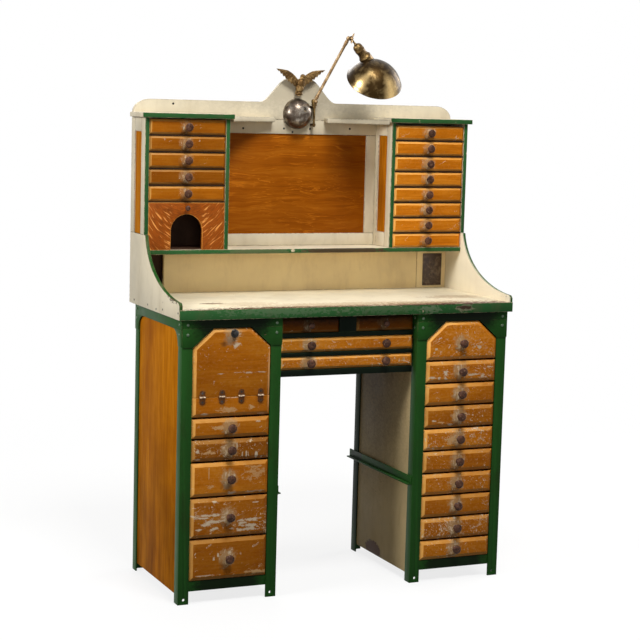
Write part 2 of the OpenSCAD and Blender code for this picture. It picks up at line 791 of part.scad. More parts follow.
module gusset_plates() {
    color(green) both_sides() {
        translate([ped_x, 0, 0]) front_plate();
        for (side = [-1, 1]) {
            translate([ped_x + side * (ped_w / 2 + glue), 0, 0]) mirror([side < 0 ? 1 : 0, 0, 0]) {
                translate([0, leg_y, 0]) rotate([90, 0, 90]) linear_extrude(gusset_t) side_plate();
                for (y = [leg_y + leg_w / 2, leg_back_y - leg_w / 2]) {
                    for (z = [corner_rivet_z - rivet_pitch, corner_rivet_z]) {
                        translate([gusset_t, y, frame_top - z]) rotate([0, 0, 90]) rivet();
                    }
                }
            }
        }
    }
}

// Upright panel inside the flanges of one side of a pedestal
module side_panel(x) {
    translate([x, panel_y0, panel_z]) cube([panel_t, panel_y1 - panel_y0, panel_top - panel_z]);
}

module varnished_panels() {
    color(varnish) both_sides() {
        side_panel(ped_x + panel_in_x);
        for (x = inset_places) {
            translate([x, hutch_y + inset_y + glue, inset_z + glue])
                cube([inset_t, inset_w - 2 * glue, inset_h - 2 * glue]);
        }
    }
}

module painted_panels() {
    back_w = 2 * panel_in_x - 2 * glue;
    color(cream) {
        both_sides() {
            side_panel(ped_x - panel_in_x - panel_t);
            translate([ped_x - back_w / 2, panel_y1 - panel_t, panel_z])
                cube([back_w, panel_t, panel_top - panel_z]);
        }
        translate([-unit_half_w, unit_back_y, unit_z0])
            cube([2 * unit_half_w, panel_t, frame_top - unit_z0 - glue]);
    }
}

// Pair of runners under one pedestal drawer
module runner_pair(x, z) {
    inner = ped_box_w / 2 - runner_reach;
    width = panel_in_x - inner;
    y = front_back_y + panel_gap;
    for (side = [-1, 1]) {
        translate([x + side * (inner + panel_in_x) / 2 - width / 2, y, z])
            cube([width, panel_y1 - panel_t - y, runner_h - run_gap]);
    }
}

// Board that carries the drawers of one row over the kneehole, behind its rail
module unit_board(z) {
    y = unit_rail_y + front_t;
    translate([-unit_half_w, y, z - unit_board_t]) cube([2 * unit_half_w, unit_back_y - y, unit_board_t]);
}

module drawer_runners() {
    color(raw_wood) {
        for (i = [0:left_count - 1]) {
            runner_pair(-ped_x, stack_z + stack_base(left_heights, stack_gap, i));
        }
        for (i = [0:right_count - 1]) {
            runner_pair(ped_x, stack_z + stack_base(right_heights, stack_gap, i));
        }
        translate([-ped_x - panel_in_x, front_back_y, base_panel_z])
            cube([2 * panel_in_x, panel_y1 - panel_t - front_back_y, flap_floor_t]);
        unit_board(small_z0);
        unit_board(wide_z0);
        unit_board(low_z0);
        divider_y = unit_rail_y + front_t;
        translate([-block_w / 6, divider_y, small_z0 + glue])
            cube([block_w / 3, unit_back_y - divider_y, frame_top - small_z0 - 2 * glue]);
        hutch_dividers(-1, hutch_left_heights);
        hutch_dividers(1, hutch_right_heights);
    }
}

// Thin boards between the drawers of one hutch cabinet
module hutch_dividers(side, heights) {
    recess = 2;
    for (i = [1:len(heights) - 1]) {
        translate([side * cabinet_x - hutch_open_w / 2, hutch_y + recess,
                   hutch_stack_z(heights, i) - run_gap - divider_t])
            cube([hutch_open_w, case_y1 - hutch_back_t - hutch_y - recess, divider_t]);
    }
}

module flap_base_panel() {
    color(varnish) translate([-ped_x, face_y, base_panel_z])
        bevelled_front(front_w, base_panel_h, front_t, bevel_w, bevel_d, top_slope = false);
}

module left_flap() {
    color(varnish) difference() {
        translate([-ped_x, face_y, flap_z])
            octagon_front(front_w, flap_h, front_t, bevel_w, bevel_d, corner_w, corner_h, false);
        translate([latch_x - ped_x, face_y - over, latch_z]) rotate([-90, 0, 0])
            cylinder(d = latch_spindle_d + pin_fit, h = front_t + 2 * over, $fn = 32);
    }
}

// Hinge knuckle along X, from x0, of the given length
module knuckle(x0, length) {
    translate([x0, 0, 0]) rotate([0, 90, 0]) cylinder(d = hinge_knuckle_d, h = length, $fn = 32);
}

// Hinge leaf on the face, from a height upwards, with a round outer end
module hinge_leaf(z) {
    r = hinge_w / 2;
    translate([0, face_y - hinge_y, z]) rotate([90, 0, 0]) linear_extrude(hinge_leaf_t) {
        translate([-r, 0]) square([hinge_w, hinge_leaf_h - r]);
        translate([0, hinge_leaf_h - r]) circle(r = r, $fn = 48);
    }
}

// Fixed leaves below the hinge line, each with its middle knuckle and the pin
module flap_hinges() {
    leaf_y = face_y - hinge_y - hinge_leaf_t;
    color(steel) for (i = [0:3]) {
        translate([hinge_x(i), hinge_y, hinge_z]) {
            mirror([0, 0, 1]) hinge_leaf(leaf_step);
            translate([-knuckle_l / 2, leaf_y, -leaf_step - over])
                cube([knuckle_l, hinge_leaf_t, leaf_step + over]);
            knuckle(-knuckle_l / 2, knuckle_l);
            translate([-hinge_w / 2, 0, 0]) rotate([0, 90, 0])
                cylinder(d = hinge_pin_d, h = hinge_w, $fn = 24);
        }
    }
}

// Moving leaves above the hinge line, each with its two outer knuckles
module flap_hinge_leaves() {
    leaf_y = face_y - hinge_y - hinge_leaf_t;
    outer_l = knuckle_l - knuckle_end_gap;
    color(steel) for (i = [0:3]) {
        translate([hinge_x(i), hinge_y, hinge_z]) {
            hinge_leaf(leaf_step);
            for (x = [-hinge_w / 2, hinge_w / 2 - outer_l]) {
                difference() {
                    union() {
                        knuckle(x, outer_l);
                        translate([x, leaf_y, 0]) cube([outer_l, hinge_leaf_t, leaf_step + over]);
                    }
                    translate([x - over, 0, 0]) rotate([0, 90, 0])
                        cylinder(d = hinge_pin_d + pin_fit, h = outer_l + 2 * over, $fn = 24);
                }
            }
        }
    }
}

// Round turn latch: rose, finger grip, spindle through the flap and cam behind it
module flap_latch() {
    rose_t = 3;
    grip_l = 9;
    cam_t = 3;
    cam_gap = 0.3;
    cam_w = 10;
    cam_low = 6;
    cam_high = latch_drop - 1;
    translate([latch_x - ped_x, face_y, latch_z]) rotate([90, 0, 0]) {
        color(steel) {
            translate([0, 0, cam_gap]) cylinder(d = latch_d, h = rose_t, $fn = 48);
            translate([0, 0, cam_gap + rose_t]) cylinder(d = latch_d * 0.45, h = grip_l, $fn = 32);
            translate([0, 0, -front_t - cam_gap - cam_t])
                cylinder(d = latch_spindle_d, h = front_t + 2 * cam_gap + cam_t, $fn = 32);
            translate([-cam_w / 2, -cam_low, -front_t - cam_gap - cam_t])
                cube([cam_w, cam_low + cam_high, cam_t]);
        }
    }
}

module desktop() {
    color(cream) translate([-side_in_x, desk_y + edge_t, frame_top])
        cube([2 * side_in_x, desk_d - edge_t, desk_t]);
}

// Rail of the drawer unit over the kneehole
module unit_rail(z, h) {
    translate([-unit_half_w, unit_rail_y, z]) cube([2 * unit_half_w, front_t, h]);
}

module green_trim() {
    color(green) {
        translate([-desk_w / 2, desk_y, frame_top]) cube([desk_w, edge_t, desk_t]);
        translate([-side_in_x, hutch_y, shelf_top - shelf_t]) cube([2 * side_in_x, edge_t, shelf_t]);
        both_sides() {
            translate([cabinet_in_x, hutch_y, shelf_top + glue])
                cube([wall_t, edge_t, cabinet_h - 2 * glue]);
            translate([desk_w / 2 - wall_t, hutch_y, side_board_top + glue])
                cube([wall_t, edge_t, cabinet_top - side_board_top - 2 * glue]);
            translate([cabinet_in_x - cap_over, hutch_y - cap_over, cabinet_top])
                cube([cabinet_w + 2 * cap_over, edge_t, cap_t]);
        }
        unit_rail(small_z0 - rail_1_h, rail_1_h);
        unit_rail(wide_z0 - rail_2_h, rail_2_h);
        unit_rail(unit_z0, rail_3_h);
        translate([-block_w / 2, unit_rail_y, small_z0 + glue])
            cube([block_w, front_t, frame_top - small_z0 - 2 * glue]);
    }
}

// Point at t on the cubic curve through four control points
function bezier(p, t) = pow(1 - t, 3) * p[0] + 3 * t * pow(1 - t, 2) * p[1]
    + 3 * t * t * (1 - t) * p[2] + pow(t, 3) * p[3];

module side_boards() {
    top = [hutch_y - curve_front, side_board_top];
    nose = [desk_y + edge_t + nose_r, desk_h + nose_h];
    lean = [-27, 6];
    sweep = [top, top + [lean[0], -curve_drop], nose + [curve_run, lean[1]], nose];
    outline = concat(
        [[back_y, frame_top], [back_y, side_board_top]],
        [for (i = [0:24]) bezier(sweep, i / 24)],
        [[desk_y + edge_t, desk_h + nose_h - nose_r], [desk_y + edge_t, frame_top]]
    );
    color(cream) both_sides()
        translate([side_in_x, 0, 0]) rotate([90, 0, 90]) linear_extrude(side_board_t) polygon(outline);
}

module hutch_shelf() {
    color(cream) translate([-side_in_x, case_y0, shelf_top - shelf_t])
        cube([2 * side_in_x, hutch_d - edge_t, shelf_t]);
}

// Framed side wall of a cabinet round its inset, between two heights
module framed_wall(x, z0) {
    front = hutch_y + inset_y;
    z1 = cabinet_top - inset_top;
    translate([x, case_y0, z0]) cube([wall_t, inset_y - edge_t, cabinet_top - z0 - glue]);
    translate([x, front + inset_w, z0])
        cube([wall_t, case_y1 - front - inset_w, cabinet_top - z0 - glue]);
    translate([x, front + glue, z1]) cube([wall_t, inset_w - 2 * glue, inset_top - glue]);
}

module cabinet_cases() {
    color(cream) both_sides() {
        framed_wall(desk_w / 2 - wall_t, side_board_top + glue);
        framed_wall(cabinet_in_x, shelf_top + glue);
        translate([cabinet_in_x, hutch_y + inset_y + glue, shelf_top + glue])
            cube([wall_t, inset_w - 2 * glue, side_board_top - shelf_top - glue]);
        translate([cabinet_in_x + wall_t + glue, case_y1 - hutch_back_t, shelf_top + glue])
            cube([hutch_open_w - 2 * glue, hutch_back_t, cabinet_h - 2 * glue]);
    }
}

// Corner shelf between a cabinet and the crest, with a hollow front edge
module corner_shelf() {
    x0 = corner_shelf_x;
    x1 = cabinet_in_x - cap_over - glue;
    rear = crest_y - glue;
    hollow = 14;
    growth = 1.3;
    steps = 12;
    spread = rear - hutch_y - corner_shelf_d;
    edge = [for (i = [0:steps]) let (t = i / steps)
        [x0 + (x1 - x0) * t, rear - corner_shelf_d - spread * pow(t, growth) + hollow * sin(180 * t)]];
    linear_extrude(cap_t) polygon(concat([[x1, rear], [x0, rear]], edge));
}

module cap_boards() {
    y0 = hutch_y - cap_over + edge_t;
    color(cream) both_sides() {
        translate([cabinet_in_x - cap_over, y0, cabinet_top])
            cube([cabinet_w + 2 * cap_over, crest_y - glue - y0, cap_t]);
        translate([0, 0, cabinet_top - corner_shelf_drop]) corner_shelf();
    }
}

function smooth_step(u) = let (v = min(1, max(0, u))) v * v * (3 - 2 * v);
function crest_top(x) = crest_h + hump_h * (1 - smooth_step((abs(x) - hump_flat) / hump_flank));

// Outline of the crest over the cabinets' tops: rounded ends, level shoulders and a hump
module crest_outline() {
    half = desk_w / 2;
    end_h = crest_h - cap_t;
    right_end = [for (a = [0:10:90]) [half - crest_end_w + crest_end_w * cos(a), cap_t + end_h * sin(a)]];
    hump_end = hump_flat + hump_flank;
    hump = [for (i = [0:36]) let (x = hump_end * (1 - i / 18)) [x, crest_top(x)]];
    left_end = [for (i = [len(right_end) - 1:-1:0]) [-right_end[i][0], right_end[i][1]]];
    polygon(concat([[-half, 0], [half, 0]], right_end, hump, left_end));
}

module hutch_back_frame() {
    half = cabinet_in_x - glue;
    color(cream) {
        translate([0, back_y, cabinet_top + glue]) rotate([90, 0, 0])
            linear_extrude(crest_t) crest_outline();
        translate([-half, crest_y, cabinet_top - header_h]) cube([2 * half, crest_t, header_h]);
        translate([-half, crest_y, shelf_top + glue]) cube([2 * half, crest_t, back_rail_h - glue]);
        both_sides() translate([half - stile_w, crest_y, shelf_top + back_rail_h + glue])
            cube([stile_w, crest_t, cabinet_h - header_h - back_rail_h - 2 * glue]);
    }
}

module centre_panel() {
    half = cabinet_in_x - glue - stile_w;
    color("#b5702a") translate([-half, crest_y + centre_panel_recess, shelf_top + back_rail_h])
        cube([2 * half, centre_panel_t, cabinet_h - header_h - back_rail_h]);
}

module lower_back_board() {
    h = shelf_h - shelf_t;
    seam = 1.5;
    color(cream) {
        translate([recess_x, lower_back_front, desk_h])
            cube([outlet_seam_x - recess_x - seam, lower_back_t, h]);
        translate([outlet_seam_x, lower_back_front, desk_h])
            cube([side_in_x - outlet_seam_x, lower_back_t, h]);
        return_y = lower_back_front + lower_back_t + glue;
        translate([recess_x, return_y, desk_h])
            cube([lower_back_t, back_y - return_y, h]);
        translate([-side_in_x, back_y - hutch_back_t, desk_h])
            cube([recess_w - glue, hutch_back_t, h]);
    }
}

module outlet_plate() {
    face_h = 1.5;
    color("#4a3325") translate([outlet_x, lower_back_front - outlet_t, outlet_z]) {
        translate([-outlet_w / 2, 0, -outlet_h / 2]) cube([outlet_w, outlet_t, outlet_h]);
        for (z = [-outlet_pitch / 2, outlet_pitch / 2]) {
            translate([0, -glue, z]) rotate([90, 0, 0]) cylinder(d = outlet_face_d, h = face_h, $fn = 48);
        }
    }
}

// Domed wall canopy with the two lugs of the swivel pin
module lamp_canopy() {
    r = canopy_d / 2;
    rim_t = 3;
    function dome(shrink, angles) = [for (a = angles)
        [(r - shrink) * cos(a), rim_t + (canopy_depth - rim_t - shrink) * sin(a)]];
    rim = [[r - canopy_wall, 0], [r, 0]];
    color("#8d8b88") {
        translate([canopy_x, crest_y, lamp_z]) rotate([90, 0, 0]) rotate_extrude($fn = 96)
            polygon(concat(rim, dome(0, [0:10:90]), dome(canopy_wall, [90:-10:0])));
        for (i = [0, 1]) {
            translate([pivot_x, crest_y, cabinet_top + lug_z + i * lug_pitch]) lug();
        }
    }
}

// Lug with a bore for the swivel pin, standing on the back frame
module lug() {
    lug_w = pivot_d + 4;
    translate([0, 0, -lug_h / 2]) difference() {
        union() {
            translate([-lug_w / 2, -pivot_y, 0]) cube([lug_w, pivot_y, lug_h]);
            translate([0, -pivot_y, 0]) cylinder(d = lug_w, h = lug_h, $fn = 32);
        }
        translate([0, -pivot_y, -over])
            cylinder(d = pivot_d + 2 * pivot_gap, h = lug_h + 2 * over, $fn = 32);
    }
}

// Small cast bird with spread wings on a stud above the canopy, its sizes in step with its height
module bird_finial() {
    bird_y = crest_y - 14;
    part = bird_rise / 13;
    foot = [0, 0, 2 * part];
    breast = [0.3 * part, -0.3 * part, 5.1 * part];
    neck = [0.9 * part, -0.4 * part, 7.7 * part];
    head = [1.3 * part, -0.7 * part, 9.6 * part];
    beak = [2.4 * part, -1.4 * part, 9.3 * part];
    wing_root = [1.1 * part, 0, 5.7 * part];
    shoulder = [1.7 * part, 0, 8.3 * part];
    wrist = [bird_span / 4, 0, 12.1 * part];
    trail = wrist - [0.6 * part, 0, 3.1 * part];
    tip = [bird_span / 2 - 1, 0, bird_rise];
    wing_r = 0.36 * part;
    color(brass) translate([canopy_x, bird_y, lamp_z + bird_z]) {
        translate([0, 0, 1.14 * part]) rotate([-90, 0, 0])
            cylinder(d = 0.86 * part, h = crest_y - bird_y, $fn = 24);
        translate([0, 0, part]) sphere(r = part, $fn = 24);
        hull() {
            translate(foot) sphere(r = 0.86 * part, $fn = 16);
            translate(breast) sphere(r = 1.7 * part, $fn = 16);
            translate(neck) sphere(r = 1.14 * part, $fn = 16);
        }
        hull() {
            translate(head) sphere(r = part, $fn = 16);
            translate(beak) sphere(r = 0.2 * part, $fn = 16);
            translate(neck) sphere(r = 0.7 * part, $fn = 16);
        }
        both_sides() {
            hull() {
                translate(wing_root) sphere(r = 0.7 * part, $fn = 16);
                translate(shoulder) sphere(r = 0.57 * part, $fn = 16);
                translate(wrist) sphere(r = wing_r, $fn = 16);
                translate(trail) sphere(r = wing_r, $fn = 16);
            }
            hull() {
                translate(wrist) sphere(r = wing_r, $fn = 16);
                translate(trail) sphere(r = wing_r, $fn = 16);
                translate(tip) sphere(r = 0.14 * part, $fn = 16);
            }
        }
    }
}

// Swivel: upright pin, head and fork that holds the arm's lower end
module lamp_swivel() {
    pin_tail = 4;
    pin_z0 = cabinet_top + lug_z - lug_h / 2 - pin_tail;
    head_z = cabinet_top + lug_z + lug_pitch + lug_h / 2 + knuckle_gap;
    fork_w = fork_gap + 2 * fork_t;
    pin_end = 1.5;
    web_w = 10;
    color(brass) translate([pivot_pos[0], pivot_pos[1], 0]) rotate([0, 0, arm_az]) {
        translate([0, 0, pin_z0]) cylinder(d = pivot_d, h = head_z - pin_z0 + over, $fn = 32);
        translate([0, 0, head_z]) cylinder(d = fork_w, h = pivot_pos[2] - fork_r - 1 - head_z, $fn = 32);
        for (side = [-1, 1]) {
            translate([0, side * (fork_gap + fork_t) / 2, pivot_pos[2]]) {
                rotate([90, 0, 0]) cylinder(r = fork_r, h = fork_t, center = true, $fn = 32);
                translate([0, 0, -fork_r]) cube([web_w, fork_t, 2 * fork_r], center = true);
            }
        }
        translate([0, 0, pivot_pos[2]]) rotate([90, 0, 0])
            cylinder(d = knuckle_pin_d, h = fork_w + 2 * pin_end, center = true, $fn = 24);
    }
}

// Arm: lower eye, tube, elbow ball, elbow pin and the wing nut on its end
module lamp_arm() {
    shank_l = 12;
    shank_d = arm_eye_t - 1;
    nut_d = 10;
    nut_h = 7;
    ear = [26, 3, 8];
    color(brass) {
        translate(pivot_pos) rotate([0, 0, arm_az]) rotate([0, -arm_el, 0]) difference() {
            union() {
                rotate([90, 0, 0]) cylinder(r = fork_r, h = arm_eye_t, center = true, $fn = 32);
                rotate([0, 90, 0]) cylinder(d = shank_d, h = shank_l + over, $fn = 32);
                translate([shank_l, 0, 0]) rotate([0, 90, 0])
                    cylinder(d = arm_d, h = arm_len - shank_l, $fn = 32);
                translate([arm_len, 0, 0]) sphere(d = arm_d + 5, $fn = 32);
            }
            rotate([90, 0, 0])
                cylinder(d = knuckle_bore, h = arm_eye_t + 2 * over, center = true, $fn = 24);
        }
        translate(elbow_pos) rotate([0, 0, head_az]) rotate([90, 0, 0]) {
            cylinder(d = knuckle_pin_d, h = eye_off + eye_t / 2 + nut_h + over, $fn = 24);
            cylinder(d = arm_d, h = eye_off - eye_t / 2 - knuckle_gap, $fn = 24);
            translate([0, 0, eye_off + eye_t / 2 + knuckle_gap]) {
                cylinder(d = nut_d, h = nut_h, $fn = 24);
                translate([-ear[0] / 2, -ear[1] / 2, over]) cube(ear);
            }
        }
    }
}

// Socket: eye on the elbow pin, stem, hollow shell with a flared end that is trimmed to the bowl
module lamp_socket() {
    r = socket_d / 2;
    stem_r = 4.5;
    cap_x = 20;
    neck_x = head_len - 26;
    fit_r = r + 5;
    fit_x = head_len - 13;
    fit_end = head_len + fit_r;
    holder_r = bulb_base_r + 0.4;
    shell = [
        [0, cap_x - 4], [stem_r, cap_x - 4], [r * 0.7, cap_x], [r, cap_x + 10], [r, neck_x], [fit_r, fit_x],
        [fit_r, fit_end], [fit_r - socket_wall, fit_end], [fit_r - socket_wall, fit_x],
        [holder_r, neck_x], [holder_r, cap_x + 10], [0, cap_x + 10]
    ];
    color(brass) difference() {
        translate(head_pos) rotate([0, 0, head_az]) rotate([0, head_dip, 0]) {
            difference() {
                union() {
                    rotate([90, 0, 0]) cylinder(r = fork_r, h = eye_t, center = true, $fn = 32);
                    rotate([0, 90, 0]) cylinder(r = stem_r * 0.75, h = cap_x - 2, $fn = 24);
                }
                rotate([90, 0, 0])
                    cylinder(d = knuckle_bore, h = eye_t + 2 * over, center = true, $fn = 24);
            }
            rotate([0, 90, 0]) rotate_extrude($fn = 64) polygon(shell);
        }
        translate(shade_centre) sphere(r = shade_r + glue, $fn = 96);
    }
}

// Spun bowl of the lamp, cut off at its rim and bored for the socket
module lamp_shade() {
    color(brass) difference() {
        translate(shade_centre) rotate([0, 0, shade_az]) rotate([0, 90 - shade_el, 0]) difference() {
            sphere(r = shade_r, $fn = 96);
            sphere(r = shade_r - shade_wall, $fn = 96);
            translate([-2 * shade_r, -2 * shade_r, shade_h - shade_r]) cube(4 * shade_r);
        }
        translate(shade_neck) rotate([0, 0, head_az]) rotate([0, 90 + head_dip, 0])
            cylinder(r = neck_r + shade_gap, h = 2 * neck_r, center = true, $fn = 48);
    }
}

// Pear-shaped bulb on the socket's axis, with its screw base inside the socket
module lamp_bulb() {
    r = bulb_d / 2;
    base_l = 34;
    base_end = 8;
    seat = 4;
    globe = [for (a = [-50:10:90]) [r * cos(a), bulb_len - r + r * sin(a)]];
    base = [[0, -base_l], [bulb_base_r, -base_l], [bulb_base_r, base_end]];
    color("#f2efe6") translate(shade_neck - seat * head_dir) rotate([0, 0, head_az])
        rotate([0, 90 + head_dip, 0]) rotate_extrude($fn = 48) polygon(concat(base, globe));
}

pedestal_frames();
gusset_plates();
varnished_panels();
painted_panels();
drawer_runners();
flap_base_panel();
flap_hinges();
left_flap();
flap_hinge_leaves();
flap_latch();
desktop();
green_trim();
side_boards();
hutch_shelf();
cabinet_cases();
cap_boards();
hutch_back_frame();
centre_panel();
lower_back_board();
outlet_plate();
lamp_canopy();
bird_finial();
lamp_swivel();
lamp_arm();
lamp_socket();
lamp_shade();
lamp_bulb();
for (i = [1:left_count]) {
    left_drawer(i);
}
for (i = [1:right_count]) {
    right_drawer(i);
}
small_drawer(-1);  // centre_small_drawer_left
small_drawer(1);  // centre_small_drawer_right
wide_drawer(wide_z0, wide_row_h);  // centre_wide_drawer_upper
wide_drawer(low_z0, low_row_h);  // centre_wide_drawer_lower
for (i = [1:hutch_left_count]) {
    hutch_left_drawer(i);
}
hutch_arched_tray();
for (i = [1:hutch_right_count]) {
    hutch_right_drawer(i);
}
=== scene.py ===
"""Looks of the watchmaker workbench: its finishes, its detailed pieces, the light and the camera.

Sizes are in millimetres until a shape is placed; MM turns them into the scene's metres.
"""

import functools
import logging
import math
from dataclasses import dataclass, field
from enum import Enum
from typing import Callable, Iterable, Sequence

import bmesh
import bpy
from mathutils import Matrix, Vector

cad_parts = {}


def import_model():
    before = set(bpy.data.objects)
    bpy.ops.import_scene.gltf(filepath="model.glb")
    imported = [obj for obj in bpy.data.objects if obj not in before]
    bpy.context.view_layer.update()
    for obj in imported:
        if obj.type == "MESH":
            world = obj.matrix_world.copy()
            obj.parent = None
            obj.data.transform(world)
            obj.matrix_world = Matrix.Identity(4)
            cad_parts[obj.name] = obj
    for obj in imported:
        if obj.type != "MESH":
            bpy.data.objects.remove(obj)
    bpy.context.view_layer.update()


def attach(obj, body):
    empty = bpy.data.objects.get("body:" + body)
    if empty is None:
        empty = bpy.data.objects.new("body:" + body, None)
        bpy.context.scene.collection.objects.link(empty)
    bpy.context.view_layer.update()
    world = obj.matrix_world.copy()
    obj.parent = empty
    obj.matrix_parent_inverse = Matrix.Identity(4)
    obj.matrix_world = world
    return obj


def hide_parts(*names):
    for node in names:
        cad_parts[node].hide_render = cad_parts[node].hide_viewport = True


LOG = logging.getLogger("workbench")
MM = 0.001
ROOT = "bench"
BOTH = (-1, 1)
Pair = tuple[float, float]
Point = tuple[float, float, float]
Colour = Point
Profile = Sequence[Pair]


# Finishes


class Signal:
    """Output of a node; adding, subtracting or multiplying makes one more node."""

    def __init__(self, nodes: "Nodes", socket: bpy.types.NodeSocket) -> None:
        """Keeps the output and the tree that it is in."""
        self.nodes, self.socket = nodes, socket

    def __add__(self, other: object) -> "Signal":
        """Sum."""
        return self.nodes.math("ADD", self, other)

    def __sub__(self, other: object) -> "Signal":
        """Difference."""
        return self.nodes.math("SUBTRACT", self, other)

    def __rsub__(self, other: float) -> "Signal":
        """What is left of a number."""
        return self.nodes.math("SUBTRACT", other, self)

    def __mul__(self, other: object) -> "Signal":
        """Product."""
        return self.nodes.math("MULTIPLY", self, other)


class Nodes:
    """Node tree, with short calls for the nodes that the finishes and the studio share."""

    def __init__(self, tree: bpy.types.NodeTree) -> None:
        """Takes a tree and empties it."""
        self.tree = tree
        tree.nodes.clear()

    def feed(self, socket: bpy.types.NodeSocket, value: object) -> None:
        """Links a socket to a signal, or sets its value; a colour gets its fourth number."""
        if isinstance(value, Signal):
            self.tree.links.new(value.socket, socket)
        elif isinstance(value, tuple) and len(value) < len(socket.default_value):
            socket.default_value = (*value, 1.0)
        else:
            socket.default_value = value

    def node(self, kind: str, feeds: dict, **settings: object) -> bpy.types.Node:
        """Adds a node.

        Args:
            kind: the node's type, without ShaderNode at its start.
            feeds: what goes into its inputs, by name or number.
            **settings: the node's own options.

        Returns:
            The node.
        """
        made = self.tree.nodes.new("ShaderNode" + kind)
        for key, value in settings.items():
            setattr(made, key, value)
        for key, value in feeds.items():
            self.feed(made.inputs[key], value)
        return made

    def made(self, kind: str, feeds: dict, out: str | int = 0, **settings: object) -> Signal:
        """One output of a new node."""
        return Signal(self, self.node(kind, feeds, **settings).outputs[out])

    def math(self, kind: str, first: object, second: object = 0.0, clamp: bool = False) -> Signal:
        """One arithmetic node."""
        return self.made("Math", {0: first, 1: second}, operation=kind, use_clamp=clamp)

    def vector(self, kind: str, feeds: dict, out: str = "Vector") -> Signal:
        """One vector arithmetic node."""
        return self.made("VectorMath", feeds, out, operation=kind)

    def step(self, value: Signal, low: float, high: float, start: float = 0.0) -> Signal:
        """Smooth step from start at low to 1 at high; low may be the greater."""
        feeds = {"Value": value, "From Min": low, "From Max": high, "To Min": start}
        return self.made("MapRange", feeds, interpolation_type="SMOOTHSTEP")

    def mix(self, factor: object, first: object, second: object) -> Signal:
        """Mixes two colours."""
        return self.made("Mix", {0: factor, 6: first, 7: second}, 2, data_type="RGBA")


class Shader(Nodes):
    """Tree of one finish: a principled surface in the coordinates of the piece."""

    def __init__(self, name: str, **values: float) -> None:
        """Starts the surface.

        Args:
            name: name of the material.
            **values: uniform values of the surface's own sockets, with _ for a space.
        """
        self.material = bpy.data.materials.new(name)
        self.material.use_nodes = True
        super().__init__(self.material.node_tree)
        self.surface = self.node("BsdfPrincipled", {key.replace("_", " "): v for key, v in values.items()})
        self.node("OutputMaterial", {"Surface": Signal(self, self.surface.outputs[0])})
        self.place = self.made("TexCoord", {}, "Object")

    def stretched(self, scale: Point, turn: Point = (0, 0, 0), source: Signal | None = None) -> Signal:
        """Coordinates that are turned, by degrees, and then scaled along each axis."""
        source = source or self.place
        if any(turn):
            turns = tuple(math.radians(angle) for angle in turn)
            source = self.made("Mapping", {"Vector": source, "Rotation": turns})
        return self.made("Mapping", {"Vector": source, "Scale": scale})

    def noise(
        self, scale: float | Point, detail: float = 2.0, rough: float = 0.5, warp: float = 0.0,
        source: Signal | None = None, turn: Point = (0, 0, 0), out: int = 0,
    ) -> Signal:
        """Value noise.

        Args:
            scale: how closely it lies, or how closely it lies along each axis.
            detail: number of finer layers.
            rough: strength of the finer layers.
            warp: how far it is distorted.
            source: coordinates, if they aren't the piece's own.
            turn: turn of the coordinates, in degrees, before a stretch.
            out: 0 for the value, 1 for three of them as a colour.

        Returns:
            Noise from 0 to 1, mostly near a half.
        """
        source = source or self.place
        if isinstance(scale, tuple):
            source, scale = self.stretched(scale, turn, source), 1.0
        feeds = {"Vector": source, "Scale": scale, "Detail": detail, "Roughness": rough, "Distortion": warp}
        return self.made("TexNoise", feeds, out)

    def patches(self, scale: float | Point, detail: float, rough: float, low: float, high: float) -> Signal:
        """Soft patches: a noise stepped from low to high."""
        return self.step(self.noise(scale, detail, rough), low, high)

    def lines(
        self, scale: Point, width: float, warp: float, source: Signal | None = None, turn: Point = (0, 0, 0)
    ) -> Signal:
        """Thin wandering lines: the level curves of a noise."""
        off = self.math("ABSOLUTE", self.noise(scale, 3.0, 0.6, warp, source, turn) - 0.5)
        return self.step(off, width, 0.3 * width)

    def ramp(self, value: Signal, *stops: tuple[float, Colour]) -> Signal:
        """Colour that runs through the given stops."""
        made = self.node("ValToRGB", {0: value})
        elements = made.color_ramp.elements
        while len(elements) < len(stops):
            elements.new(0.5)
        for element, (place, colour) in zip(elements, stops):
            element.position = place
            element.color = (*colour, 1.0)
        return Signal(self, made.outputs[0])

    def attribute(self, name: str) -> Signal:
        """Number stored on the piece under a name."""
        return self.made("Attribute", {}, "Fac", attribute_name=name)

    def own_map(self, name: str) -> Signal:
        """Place in a map of the piece's own."""
        return self.made("UVMap", {}, uv_map=name)

    def normal(self) -> list[Signal]:
        """The three parts of the direction that the surface faces."""
        return self.apart(self.made("TexCoord", {}, "Normal"))

    def apart(self, vector: Signal) -> list[Signal]:
        """The three parts of a vector."""
        return [Signal(self, out) for out in self.node("SeparateXYZ", {0: vector}).outputs]

    def away(self, source: Signal, point: Point, half: Point | None = None) -> Signal:
        """Distance from a point, measured in half widths along each axis if they are given."""
        off = self.vector("SUBTRACT", {0: source, 1: point})
        if half:
            off = self.vector("DIVIDE", {0: off, 1: half})
        return self.vector("LENGTH", {0: off}, "Value")

    def finished(
        self, colour: Signal, rough: object,
        height: Signal | None = None, depth: float = 0.0, strength: float = 1.0,
    ) -> bpy.types.Material:
        """Gives the surface its look.

        Args:
            colour: its colour.
            rough: its roughness.
            height: its relief, from 0 to 1.
            depth: depth of the relief in metres.
            strength: how strongly the relief shows.

        Returns:
            The material.
        """
        self.feed(self.surface.inputs["Base Color"], colour)
        self.feed(self.surface.inputs["Roughness"], rough)
        if height:
            bump = self.made("Bump", {"Height": height, "Distance": depth, "Strength": strength})
            self.feed(self.surface.inputs["Normal"], bump)
        return self.material


def scaled(values: Point, share: float, most: float = math.inf) -> Point:
    """Three numbers times a share, each up to a limit."""
    return tuple(min(most, v * share) for v in values)


def shade(colour: Colour, share: float) -> Colour:
    """The colour made darker or lighter by a share."""
    return scaled(colour, share, 1.0)


